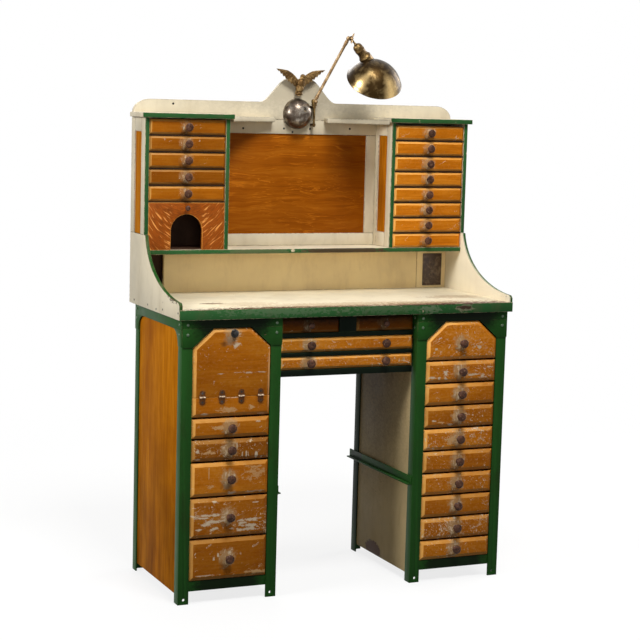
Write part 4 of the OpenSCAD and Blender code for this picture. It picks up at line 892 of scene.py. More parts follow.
@dataclass
class Form:
    """Mesh of one piece while it is being made, in metres in the bench's own frame."""

    name: str
    mesh: bmesh.types.BMesh = field(default_factory=bmesh.new)

    @classmethod
    def of_node(
        cls, name: str, node: str, least: float = 0.0, most: float = math.inf,
        where: Callable[[Vector, Vector], bool] | None = None,
    ) -> "Form":
        """Joined copy of a CAD node's loose triangles.

        Args:
            name: name of the new piece.
            node: the node that is copied.
            least: solids whose longest side is under this, in millimetres, are left out.
            most: solids whose longest side is over this are left out.
            where: rule that takes a solid's low and high corners, in millimetres, and tells whether
                it is kept.

        Returns:
            The copy, with its flat faces whole again.
        """
        form = cls(name)
        mesh = form.mesh
        mesh.from_mesh(bpy.data.objects[node].data)
        bmesh.ops.remove_doubles(mesh, verts=mesh.verts, dist=1e-5)
        for island in form.islands():
            low, high = (Vector([end(v.co[i] for v in island) for i in range(3)]) / MM for end in (min, max))
            if not least <= max(high - low) <= most or (where and not where(low, high)):
                bmesh.ops.delete(mesh, geom=island, context="VERTS")
        bmesh.ops.dissolve_limit(mesh, angle_limit=math.radians(1), verts=mesh.verts, edges=mesh.edges)
        return form

    def islands(self) -> list[list[bmesh.types.BMVert]]:
        """The vertices of each separate solid."""
        left = set(self.mesh.verts)
        found = []
        while left:
            start = left.pop()
            island, edge = [start], [start]
            while edge:
                vert = edge.pop()
                for link in vert.link_edges:
                    other = link.other_vert(vert)
                    if other in left:
                        left.discard(other)
                        island.append(other)
                        edge.append(other)
            found.append(island)
        return found

    def take(self, other: bmesh.types.BMesh, place: Matrix = Matrix.Identity(4)) -> "Form":
        """Adds another mesh, set in its place, and frees it."""
        bmesh.ops.recalc_face_normals(other, faces=other.faces)
        bmesh.ops.transform(other, matrix=place, verts=other.verts)
        if place.determinant() < 0:
            bmesh.ops.reverse_faces(other, faces=other.faces)
        held = bpy.data.meshes.new("held")
        other.to_mesh(held)
        other.free()
        self.mesh.from_mesh(held)
        bpy.data.meshes.remove(held)
        return self

    def board(self, low: Point, high: Point) -> "Form":
        """Adds a rectangular board between two corners, in millimetres."""
        box = bmesh.new()
        bmesh.ops.create_cube(box, size=1.0)
        size = [(b - a) * MM for a, b in zip(low, high)]
        middle = [(a + b) / 2 for a, b in zip(low, high)]
        return self.take(box, moved(*middle) @ Matrix.Diagonal((*size, 1.0)))

    def turned(self, profile: Profile, place: Matrix, steps: int = 48, closed: bool = False) -> "Form":
        """Adds a lathe-turned shape.

        Args:
            profile: radius and height of each point in millimetres; the shape turns round its own Z.
            place: where the shape's own origin goes.
            steps: sides of the turned shape.
            closed: whether the last point joins the first.

        Returns:
            The form itself.
        """
        lathe = bmesh.new()
        verts = [lathe.verts.new((r * MM, 0.0, h * MM)) for r, h in profile]
        edges = [lathe.edges.new(pair) for pair in zip(verts, verts[1:] + verts[:1] * closed)]
        bmesh.ops.spin(
            lathe, geom=verts + edges, cent=(0, 0, 0), axis=(0, 0, 1), dvec=(0, 0, 0),
            angle=2 * math.pi, steps=steps, use_merge=True, use_duplicate=False, use_normal_flip=False,
        )
        bmesh.ops.remove_doubles(lathe, verts=lathe.verts, dist=1e-6)
        return self.take(lathe, place)

    def rod(
        self, start: Sequence[float], along: Sequence[float], radius: float, length: float, steps: int = 24
    ) -> "Form":
        """Adds a round rod with eased ends."""
        ease = min(0.6, radius / 4)
        profile = [(radius - ease, 0), (radius, ease), (radius, length - ease), (radius - ease, length)]
        return self.turned([(0, 0), *profile, (0, length)], aimed(start, along), steps)

    def cone(self, place: Matrix, radii: Pair, length: float, steps: int) -> "Form":
        """Adds a cone, about its middle, between two radii."""
        cone = bmesh.new()
        low, high = (radius * MM for radius in radii)
        bmesh.ops.create_cone(
            cone, cap_ends=True, segments=steps, radius1=low, radius2=high, depth=length * MM
        )
        return self.take(cone, place)

    def slab(self, outline: Profile, low: float, high: float, place: Matrix) -> "Form":
        """Adds a flat outline, drawn in X and Y in millimetres, drawn out along its own Z."""
        plate = bmesh.new()
        face = plate.faces.new([plate.verts.new((x * MM, y * MM, low * MM)) for x, y in outline])
        drawn_out(plate, [face], (high - low) * MM)
        return self.take(plate, place)

    def ball(
        self, middle: Sequence[float], size: Point, turn: Matrix = Matrix.Identity(4), steps: int = 24
    ) -> "Form":
        """Adds an ellipsoid of the given half sizes in millimetres."""
        ball = bmesh.new()
        bmesh.ops.create_uvsphere(ball, u_segments=steps, v_segments=steps // 2, radius=MM)
        return self.take(ball, moved(*middle) @ turn @ Matrix.Diagonal((*size, 1.0)))

    def soften(self, width: float, segments: int = 2, angle: float = 30.0) -> "Form":
        """Rounds every edge sharper than an angle, and remembers the new faces as edges that wear."""
        layer = self.mesh.faces.layers.float.new("edge")
        limit = math.radians(angle)
        sharp = [e for e in self.mesh.edges if len(e.link_faces) == 2 and e.calc_face_angle(0.0) > limit]
        made = bmesh.ops.bevel(
            self.mesh, geom=sharp, offset=width * MM, offset_type="OFFSET", segments=segments, profile=0.5,
            affect="EDGES", clamp_overlap=True, material=-1,
        )
        for face in made["faces"]:
            face[layer] = 1.0
        return self

    def show(
        self, finish: Finish, body: str, slot: str, replaces: Sequence[str] = (), smooth: float = 38.0
    ) -> bpy.types.Object:
        """Puts the finished piece in the scene.

        Args:
            finish: its material.
            body: the CAD body that it rides on.
            slot: the record's material slot; not used.
            replaces: the CAD nodes that it stands for.
            smooth: greatest angle, in degrees, that is shaded as one surface.

        Returns:
            The new object.
        """
        mesh = bpy.data.meshes.new(self.name)
        self.mesh.to_mesh(mesh)
        self.mesh.free()
        mesh.materials.append(material_of(finish))
        mesh.shade_smooth()
        mesh.set_sharp_from_angle(angle=math.radians(smooth))
        piece = linked(self.name, mesh)
        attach(piece, body)
        if replaces:
            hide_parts(*replaces)
        LOG.info("%s: %d faces", self.name, len(mesh.polygons))
        return piece


def drawn_out(mesh: bmesh.types.BMesh, faces: list[bmesh.types.BMFace], height: float) -> None:
    """Extrudes faces along Z, by metres."""
    grown = bmesh.ops.extrude_face_region(mesh, geom=faces)
    verts = [v for v in grown["geom"] if isinstance(v, bmesh.types.BMVert)]
    bmesh.ops.translate(mesh, vec=(0, 0, height), verts=verts)


def cut(
    mesh: bmesh.types.BMesh, place: Sequence[float], normal: Sequence[float], clear: bool = False
) -> list:
    """Cuts a mesh with a plane.

    Args:
        mesh: the mesh.
        place: a point on the plane.
        normal: direction that the plane faces.
        clear: whether what lies outside the plane is cleared.

    Returns:
        The vertices and edges on the plane.
    """
    geom = mesh.verts[:] + mesh.edges[:] + mesh.faces[:]
    made = bmesh.ops.bisect_plane(mesh, geom=geom, plane_co=place, plane_no=normal, clear_outer=clear)
    return made["geom_cut"]


def set_number(piece: bpy.types.Object, name: str, value: float) -> None:
    """Stores one number on the whole of a piece."""
    mesh = piece.data
    stored = mesh.attributes.new(name, "FLOAT", "POINT")
    stored.data.foreach_set("value", [value] * len(mesh.vertices))


def set_map(piece: bpy.types.Object, name: str, rule: Callable[[Vector, Vector], Pair]) -> None:
    """Gives a piece a map of its own: rule takes a corner's place and its face's middle."""
    mesh = piece.data
    layer = mesh.uv_layers.new(name=name)
    for face in mesh.polygons:
        for loop in face.loop_indices:
            corner = mesh.vertices[mesh.loops[loop].vertex_index].co
            layer.data[loop].uv = rule(corner, face.center)


def refined(
    node: str, finish: Finish, slot: str, width: float, body: str = ROOT, segments: int = 2,
    name: str | None = None, **kept: object,
) -> bpy.types.Object:
    """Shows a CAD node's solids as a joined copy with rounded edges.

    Args:
        node: the node.
        finish: the piece's finish.
        slot: the record's material slot.
        width: width of the rounding.
        body: the CAD body that the piece rides on.
        segments: faces across the rounding.
        name: name of a piece that doesn't stand for the node.
        **kept: which solids are kept, as Form.of_node takes it.

    Returns:
        The new object.
    """
    form = Form.of_node(name or node + "_piece", node, **kept).soften(width, segments)
    return form.show(finish, body, slot, () if name else [node])


# Drawers and their fronts


class Knob(Enum):
    """Knob sizes: diameter and length in millimetres."""

    PEDESTAL = (30.0, 24.0)
    SMALL = (21.0, 17.0)
    HUTCH = (28.0, 19.0)
    TRAY = (18.0, 15.0)

    def form(self, name: str, place: Point) -> Form:
        """Turned knob on a face that looks forward."""
        r, length = self.value[0] / 2, self.value[1]
        foot = [(0, 0.2), (0.62 * r, 0.2)]
        neck = ((0.64, 0.05), (0.56, 0.1), (0.43, 0.2), (0.38, 0.3), (0.42, 0.38))
        foot += [(across * r, up * length) for across, up in neck]
        head = arc(r, range(-55, 76, 15), (0, 0.7 * length), 0.3 * length)
        dimple = [(across * r, up * length) for across, up in ((0.3, 0.995), (0.16, 0.96), (0, 0.955))]
        return Form(name).turned(foot + head + dimple, moved(*place) @ FORWARD, 40)


def front_form(
    name: str, place: Point, size: Point, slope: Pair,
    corner: Pair | None = None, low_slope: bool = True, top_slope: bool = True,
) -> Form:
    """Raised drawer front with a sloped border.

    Args:
        name: name of the piece.
        place: middle of the lower edge, at the depth of the face.
        size: width, thickness and height.
        slope: width and depth of the sloped border.
        corner: width and height of the cut upper corners, if they are cut.
        low_slope: whether the border runs along the lower edge.
        top_slope: whether the border runs along the upper edge.

    Returns:
        The front, its edges still sharp.
    """
    width, thick, height = size
    near = 1.5 * slope[0]
    block = bmesh.new()
    bmesh.ops.create_cube(block, size=1.0)
    bmesh.ops.scale(block, vec=(width, thick - slope[1], height), verts=block.verts)
    bmesh.ops.translate(block, vec=(0, (thick + slope[1]) / 2, height / 2), verts=block.verts)
    if corner:
        for side in BOTH:
            normal = Vector((side * corner[1], 0, corner[0])).normalized()
            rim = cut(block, (side * (width / 2 - corner[0]), 0, height), normal, True)
            bmesh.ops.holes_fill(block, edges=[e for e in rim if isinstance(e, bmesh.types.BMEdge)])
    face = min(block.faces, key=lambda f: f.calc_center_median().y)
    bmesh.ops.inset_region(block, faces=[face], thickness=slope[0], use_even_offset=True)
    for vert in face.verts:
        vert.co.y = 0.0
        if not low_slope and vert.co.z < near:
            vert.co.z = 0.0
        if not top_slope and vert.co.z > height - near:
            vert.co.z = height
    bmesh.ops.scale(block, vec=(MM, MM, MM), verts=block.verts)
    return Form(name).take(block, moved(*place))


def box_form(name: str, place: Point, size: Point, boards: Pair) -> Form:
    """Open drawer box behind a front.

    Args:
        name: name of the piece.
        place: middle of its front end, at its underside.
        size: width, depth and height.
        boards: thickness of the sides and of the bottom.

    Returns:
        The box, its edges still sharp.
    """
    x, y, z = place
    w, d, h = size
    side, base = boards
    half, gap = w / 2, 0.2
    form = Form(name).board((x - half, y + gap, z), (x + half, y + d, z + base))
    for left in (x - half, x + half - side):
        form.board((left, y + gap, z + base + gap), (left + side, y + d, z + h))
    low = (x - half + side + gap, y + d - side, z + base + gap)
    return form.board(low, (x + half - side - gap, y + d, z + h))


def dress(front: bpy.types.Object, knobs: Sequence[Pair], wear: float, tone: float) -> None:
    """Stores a front's wear and tone, and the way from its nearest knob.

    Args:
        front: the front.
        knobs: place of each knob across and up; the second is the nearest on its own half.
        wear: from 0, sound, to 1, badly scuffed.
        tone: how light the varnish is, up to 1.
    """
    middle = sum(x for x, _ in knobs) / len(knobs) * MM

    def from_knob(corner: Vector, face: Vector) -> Pair:
        """Way from the knob to a corner."""
        near = knobs[-1] if face.x > middle else knobs[0]
        return corner.x - near[0] * MM, corner.z - near[1] * MM

    set_map(front, "knob", from_knob)
    set_number(front, "wear", wear)
    set_number(front, "tone", tone)


@dataclass(frozen=True)
class Drawer:
    """One drawer: front, knobs and box.

    Attributes:
        node: the CAD node and body.
        place: middle of the front's lower edge, at the depth of its face.
        size: width, thickness and height of the front.
        slope: width and depth of the sloped border.
        knob: kind of knob.
        knobs: place of each knob, from the middle and from the lower edge.
        box: place of the box behind the front's back and above its lower edge, then width, depth and height.
        boards: thickness of the box's sides and bottom.
        wear: from 0, sound, to 1, badly scuffed.
        tone: how light the board's varnish is, up to 1.
        finish: the front's finish.
        corner: width and height of the cut upper corners, if they are cut.
    """

    node: str
    place: Point
    size: Point
    slope: Pair
    knob: Knob
    knobs: tuple[Pair, ...]
    box: tuple[float, float, float, float]
    boards: Pair
    wear: float
    tone: float
    finish: Finish = Finish.FRONTS
    corner: Pair | None = None

    def build(self) -> None:
        """Makes the drawer's pieces."""
        x, y, z = self.place
        form = front_form(self.node + "_front", self.place, self.size, self.slope, self.corner).soften(0.9, 3)
        front = form.show(self.finish, self.node, "varnished_fronts", [self.node], 25.0)
        knobs = [(x + across, z + up) for across, up in self.knobs]
        dress(front, knobs, self.wear, self.tone)
        for index, (across, up) in enumerate(knobs):
            knob = self.knob.form(f"{self.node}_knob_{index + 1}", (across, y, up))
            knob.show(Finish.KNOBS, self.node, "dark_moulding")
        lift, width, depth, height = self.box
        place = (x, y + self.size[1], z + lift)
        box = box_form(self.node + "_box", place, (width, depth, height), self.boards)
        box.soften(0.6, 1).show(Finish.BARE_WOOD, self.node, "raw_wood")


@dataclass(frozen=True)
class Pedestals:
    """The two pedestals: frames, plates, panels, drawers, and the flap of the left one.

    Attributes:
        middle: distance of each one's middle from the bench's.
        face, leg, back: depth of the fronts, of the legs and of their backs.
        top, stack: height of the frame's top and of the lowest drawer.
        gap: gap between two drawers.
        front, slope, corner: width and thickness, sloped border and cut corners of the fronts.
        left, right: heights of the drawers from the lowest.
        left_wear, right_wear, left_tone, right_tone: wear and tone of the fronts.
        flap_low, flap_height: lower edge and height of the flap.
        base_height: height of the board under it.
        flap_tone: tone of the flap.
        hinge_step: way from one hinge to the next.
    """

    middle: float = PEDESTAL_X
    face: float = -244.5
    leg: float = -240.5
    back: float = 237.5
    top: float = 938.0
    stack: float = 77.0
    gap: float = 6.5
    front: Pair = (269.0, 18.0)
    slope: Pair = (12.0, 7.0)
    corner: Pair = (70.0, 62.0)
    left: tuple[float, ...] = (135.0, 131.0, 111.0, 69.0, 64.0)
    right: tuple[float, ...] = (65.0,) + (72.0,) * 8 + (131.5,)
    left_wear: tuple[float, ...] = (0.4, 0.8, 0.45, 0.7, 0.35)
    right_wear: tuple[float, ...] = (0.7, 1.0, 0.6, 0.72, 0.65, 0.8, 0.68, 0.5, 0.7, 0.88)
    left_tone: tuple[float, ...] = (0.5, 0.55, 0.72, 0.45, 0.64)
    right_tone: tuple[float, ...] = (0.72, 0.66, 0.66, 0.74, 0.66, 0.85, 0.62, 0.72, 0.74, 0.9)
    flap_low: float = 684.5
    flap_height: float = 223.5
    base_height: float = 64.0
    flap_tone: float = 0.66
    hinge_step: float = 67.5

    def build(self) -> None:
        """Makes every piece of both pedestals."""
        refined("pedestal_frames", Finish.STEEL_PAINT, "green_paint", 1.0)
        refined("gusset_plates", Finish.PLATE_PAINT, "green_paint", 0.6, least=20)
        refined("varnished_panels", Finish.SIDES, "varnished_panels", 0.6)
        refined("painted_panels", Finish.KNEE_PAINT, "cream_paint", 0.6)
        # The dust boards' dark stain is painted shade in the gap under the lowest drawers.
        boards = Form("pedestal_dust_boards")
        half, front, back, low, high = 162, -220, 215, 66, 72
        plan = [(-half, front), (half, front), (half, back), (-half, back)]
        for side in BOTH:
            boards.slab(plan, low, high, moved(side * self.middle, 0, 0))
        boards.soften(0.5, 1).show(Finish.RECESS, ROOT, "raw_wood")
        node, limit = "drawer_runners", Hutch.shelf - 30
        refined(node, Finish.BARE_WOOD, "raw_wood", 0.5, segments=1, where=lambda _, high: high.z < limit)
        # The dividers' near-black edges are painted shade in the gaps between the hutch drawers.
        refined(
            node, Finish.DIVIDERS, "raw_wood", 0.3, segments=1, name="hutch_drawer_dividers",
            where=lambda low, _: low.z > limit,
        )
        self.rivets()
        left = zip(self.left, self.left_wear, self.left_tone)
        right = zip(self.right, self.right_wear, self.right_tone)
        self.drawers(-1, "left_drawer_", left, Finish.LEFT_FRONTS)
        self.drawers(1, "right_drawer_", right, Finish.RIGHT_FRONTS)
        self.flap()

    def rivets(self) -> None:
        """Domed rivet heads on the plates."""
        form = Form("pedestal_rivets")
        dome = [(0, 0), (5, 0), (4.9, 0.7), (4.3, 1.5), (3.1, 2.1), (1.5, 2.4), (0, 2.45)]
        aside, plate, inset, flank = 154, 2.9, 18.5, 175.4
        for side in BOTH:
            for z in (self.top - 48, self.top - 16):
                for x in (-aside, aside):
                    form.turned(dome, moved(side * self.middle + x, self.leg - plate, z) @ FORWARD, 20)
                for face in BOTH:
                    for y in (self.leg + inset, self.back - inset):
                        place = (side * self.middle + face * flank, y, z)
                        form.turned(dome, aimed(place, (face, 0, 0)), 20)
        form.show(Finish.RIVET_PAINT, ROOT, "green_paint")

    def drawers(self, side: int, stem: str, rows: Iterable[Point], finish: Finish) -> None:
        """The drawers of one pedestal, from the lowest: each row holds height, wear and tone."""
        z = self.stack
        for index, (height, wear, tone) in enumerate(rows):
            octagon = height > 131 and side > 0
            knob_z, inner = (56.0, height - 73) if octagon else (height / 2, height - 14)
            Drawer(
                f"{stem}{index + 1}", (side * self.middle, self.face, z), (*self.front, height), self.slope,
                Knob.PEDESTAL, ((0.0, knob_z),), (8.0, 267.0, 436.0, inner), (10.0, 5.0), wear, tone, finish,
                self.corner if octagon else None,
            ).build()
            z += height + self.gap

    def flap(self) -> None:
        """The flap, its hinges and latch, and the fixed board under it."""
        x, fronts_slot = -self.middle, "varnished_fronts"
        latch = (x + 6.0, 891.0)
        place, size = (x, self.face, self.flap_low - 1 - self.base_height), (*self.front, self.base_height)
        base = front_form("flap_base_front", place, size, self.slope, top_slope=False).soften(0.9, 3)
        base = base.show(Finish.FLAP_FRONTS, ROOT, fronts_slot, ["flap_base_panel"], 25.0)
        place, size = (x, self.face, self.flap_low), (*self.front, self.flap_height)
        flap = front_form("flap_front", place, size, self.slope, self.corner, False).soften(0.9, 3)
        flap = flap.show(Finish.FLAP_FRONTS, "left_flap", fronts_slot, ["left_flap"], 25.0)
        for front, wear in ((base, 0.3), (flap, 0.35)):
            dress(front, [latch], wear, self.flap_tone)
        refined("flap_hinges", Finish.HINGES, "hinge_steel", 0.25)
        refined("flap_hinge_leaves", Finish.HINGES, "hinge_steel", 0.25, "left_flap")
        seam, leaf, hinge_face = self.flap_low - 0.5, 15.0, self.face - 1.15
        rows = (("hinge_screws", ROOT, seam - leaf), ("hinge_leaf_screws", "left_flap", seam + leaf))
        for name, body, z in rows:
            form = Form(name)
            for index in range(4):
                place = (x + (index - 1.5) * self.hinge_step, hinge_face, z)
                screw_head(form, place, 3.6, 25.0 * index + z)
            form.show(Finish.BLACK_STEEL, body, "hinge_steel")
        self.latch(*latch)

    def latch(self, x: float, z: float) -> None:
        """Round turn latch, its spindle and its cam."""
        rose = [(0, 0.3), (13.5, 0.3), (13.5, 1.6), (12.6, 2.6), (11.4, 3.1), (10.4, 2.7), (9.4, 2.5)]
        neck = [(7.4, 2.9), (6.4, 4.2), (5.4, 6.2), (5.6, 8.6)]
        knob = [(6.6, 10.4), (6.6, 11.6), (5.6, 12.3), (2.4, 12.3), (2.1, 11.4), (0, 11.4)]
        cam = (5, 6, 16, 3)
        form = Form("flap_latch_knob").turned(rose + neck + knob, moved(x, self.face, z) @ FORWARD)
        form.rod((x, self.face - 0.3, z), (0, 1, 0), 4, 21.6)
        back = self.face + self.front[1] + 0.3
        form.board((x - cam[0], back, z - cam[1]), (x + cam[0], back + cam[3], z + cam[2]))
        form.show(Finish.BLACK_STEEL, "flap_latch", "hinge_steel", ["flap_latch"])


def screw_head(form: Form, place: Point, radius: float, turn: float, along: Point = (0, -1, 0)) -> None:
    """Adds a low slotted screw head on a face.

    Args:
        form: the piece that it goes on.
        place: middle of the head's underside.
        radius: radius of the head.
        turn: angle of the slot.
        along: direction that the head looks to.
    """
    r, height = radius * MM, 0.7
    head = bmesh.new()
    bmesh.ops.create_cone(head, cap_ends=True, segments=20, radius1=r, radius2=0.86 * r, depth=height * MM)
    for side in BOTH:
        cut(head, (side * 0.16 * r, 0, 0), (1, 0, 0))
    slot = [f for f in head.faces if f.normal.z > 0.9 and abs(f.calc_center_median().x) < 0.1 * r]
    drawn_out(head, slot, -height / 2 * MM)
    bmesh.ops.delete(head, geom=slot, context="FACES_ONLY")
    form.take(head, aimed(place, along) @ moved(0, 0, height / 2) @ turned_by(turn, "Z"))


@dataclass(frozen=True)
class KneeUnit:
    """The four drawers over the kneehole.

    Attributes:
        face: depth of the fronts.
        offset: place of the small drawers, and of the wide ones' knobs, from the middle.
    """

    face: float = -218.5
    offset: float = 138.0

    def build(self) -> None:
        """Makes the drawers."""
        # The small drawers' low tones, 0.36 and 0.42, are painted shade under the desktop's edge.
        small = (Knob.SMALL, (0.0,), 0.1)
        wide = (Knob.PEDESTAL, (-self.offset, self.offset))
        for name, x, z, width, height, knob, knobs, wear, tone in (
            ("small_drawer_left", -self.offset, 880.0, 212.0, 53.0, *small, 0.36),
            ("small_drawer_right", self.offset, 880.0, 212.0, 53.0, *small, 0.42),
            ("wide_drawer_upper", 0.0, 815.0, 488.0, 50.0, *wide, 0.7, 0.85),
            ("wide_drawer_lower", 0.0, 757.0, 488.0, 45.0, *wide, 0.8, 0.85),
        ):
            Drawer(
                "centre_" + name, (x, self.face, z + 1), (width, 18.0, height - 2), (9.0, 7.0), knob,
                tuple((k, height / 2 - 1) for k in knobs), (-0.6, width - 4, 400.0, height - 8), (10.0, 5.0),
                wear, tone, Finish.SMALL_FRONTS if knob is Knob.SMALL else Finish.FRONTS,
            ).build()


@dataclass(frozen=True)
class Hutch:
    """The hutch: shelf, cabinets and their drawers, caps, back frame, crest and the board behind the desktop.

    Attributes:
        middle, face, shelf: the middle of each cabinet, depth of the fronts, and height of the shelf.
        front, slope: width and thickness of the fronts, and their sloped border.
        left_height, right_height, gap: heights of the drawers of each cabinet, and the gap between two.
        left_tone, right_tone: tone of the fronts from the lowest.
        tray: height of the tray's front, then width and height of its arch.
        outlet: middle of the outlet plate's back.
    """

    middle: float = 459.0
    face: float = 117.5
    shelf: float = 1130.4
    front: Pair = (272.0, 12.0)
    slope: Pair = (8.0, 5.0)
    left_height: float = 51.0
    right_height: float = 49.9
    gap: float = 5.0
    left_tone: tuple[float, ...] = (0.6, 0.44, 0.52, 0.5, 0.55)
    right_tone: tuple[float, ...] = (1.0, 0.95, 1.0, 0.86, 0.93, 1.0, 0.97, 1.0)
    tray: Point = (160.0, 113.0, 121.0)
    outlet: Point = (541.5, 225.5, 1039.0)

    def build(self) -> None:
        """Makes every piece of the hutch."""
        for node in ("hutch_shelf", "cabinet_cases", "cap_boards", "hutch_back_frame"):
            refined(node, Finish.CREAM_PAINT, "cream_paint", 1.2)
        node, front = "lower_back_board", 240
        refined(node, Finish.TAN_PAINT, "cream_paint", 1.0, where=lambda low, _: low.y < front)
        refined(
            node, Finish.RECESS, "raw_wood", 0.6, segments=1, name="cord_recess_boards",
            where=lambda low, _: low.y > front,
        )
        refined("centre_panel", Finish.CENTRE, "centre_wood", 0.5)
        low = self.shelf + self.tray[0] + self.gap
        self.drawers("hutch_left_drawer_", -1, low, self.left_height, self.left_tone, 2)
        self.drawers("hutch_right_drawer_", 1, self.shelf, self.right_height, self.right_tone, 3)
        self.arched_tray()
        self.outlet_plate()
        self.screws()

    def drawers(
        self, stem: str, side: int, low: float, height: float, tones: Sequence[float], cycle: int
    ) -> None:
        """The drawers of one cabinet, from the lowest; their wear goes round in a cycle."""
        for index, tone in enumerate(tones):
            Drawer(
                f"{stem}{index + 1}", (side * self.middle, self.face, low + index * (height + self.gap)),
                (*self.front, height), self.slope, Knob.HUTCH, ((0.0, height / 2),),
                (0.0, self.front[0], 118.0, height - 4), (6.0, 3.0), 0.1 + 0.08 * (index % cycle), tone,
            ).build()

    def arched_tray(self) -> None:
        """The pull-out tray behind its arched front."""
        name = "hutch_arched_tray"
        height, width, rise = self.tray
        x, half, arch = -self.middle, self.front[0] / 2, width / 2
        curve = arc(arch, range(180, -1, -5), (0, rise - arch))
        outline = [(half, 0), (half, height), (-half, height), (-half, 0), (-arch, 0), *curve, (arch, 0)]
        place = moved(x, self.face, self.shelf) @ FORWARD
        form = Form(name + "_front").slab(outline, -self.front[1], 0, place)
        form.soften(1.0, 3).show(Finish.ARCH, name, "varnished_fronts", [name], 25.0)
        knob = Knob.TRAY.form(name + "_knob", (x, self.face, self.shelf + height - 18))
        knob.show(Finish.KNOBS, name, "dark_moulding")
        # The box's dark stain is painted shade inside the arch.
        place = (x, self.face + self.front[1], self.shelf)
        box = box_form(name + "_box", place, (self.front[0], 118.0, height - 5), (6.0, 3.0))
        box.soften(0.6, 1).show(Finish.RECESS, name, "raw_wood")

    def outlet_plate(self) -> None:
        """The outlet plate with its two round faces, their slots and the middle screw."""
        x, y, z = self.outlet
        wide, tall, shift, aside = 38.5, 59, 19, 6
        form = Form("outlet_cover").board((x - wide, y, z - tall), (x + wide, y + 4, z + tall)).soften(1.6, 3)
        # Dark thin boxes in front of the faces are painted shade standing for the slots.
        slots = Form("outlet_slots")
        face = [(0, 0.1), (17, 0.1), (17, 1.2), (16.2, 1.6), (14.5, 1.7), (0, 1.7)]
        for middle in (z - shift, z + shift):
            form.turned(face, moved(x, y, middle) @ FORWARD, 40)
            for slot in (x - aside, x + aside):
                slots.board((slot - 1.1, y - 1.85, middle - 4), (slot + 1.1, y - 1.6, middle + 4))
        form.show(Finish.BROWN_MOULDING, ROOT, "dark_moulding", ["outlet_plate"])
        slots.show(Finish.DARK_GAP, ROOT, "dark_moulding")
        screw = Form("outlet_screw")
        screw_head(screw, (x, y - 0.1, z), 3.4, 30)
        screw.show(Finish.DULL_STEEL, ROOT, "hinge_steel")

    def screws(self) -> None:
        """Dark screw heads on the back frame, the crest and the outer faces of the side boards."""
        form = Form("cream_board_screws")
        frame_face, board_face = 252.6, 609.9
        back = (
            (-53.6, 1544.3), (46.6, 1545.1), (-20.7, 1532.6), (-467.6, 1621.7), (-208.2, 1542.5),
            (202.5, 1547.6)
        )
        for index, (x, z) in enumerate(back):
            screw_head(form, (x, frame_face, z), 4.0, 40.0 * index)
        aside = ((215, 952.5), (67, 952.8), (-21, 948.4), (-87, 954.7), (-240, 960.9))
        for side in BOTH:
            for index, (y, z) in enumerate(aside):
                screw_head(form, (side * board_face, y, z), 3.6, 35.0 * index, (side, 0, 0))
        form.show(Finish.BLACK_STEEL, ROOT, "hinge_steel")


@dataclass(frozen=True)
class Desk:
    """Desktop, its green edges and the side boards."""

    def build(self) -> None:
        """Makes the pieces."""
        refined("desktop", Finish.DESK_PAINT, "cream_paint", 1.5)

        def rail(low: Vector, high: Vector) -> bool:
            """Whether a strip belongs to the drawers over the kneehole."""
            front, back, half = -219, -200, 300
            return front < low.y < back and max(-low.x, high.x) < half

        refined("green_trim", Finish.TRIM_PAINT, "green_wood", 0.9, where=lambda *ends: not rail(*ends))
        refined("green_trim", Finish.RAIL_PAINT, "green_wood", 0.9, name="kneehole_drawer_rails", where=rail)
        refined("side_boards", Finish.SIDE_PAINT, "cream_paint", 1.0)


# Lamp and bird


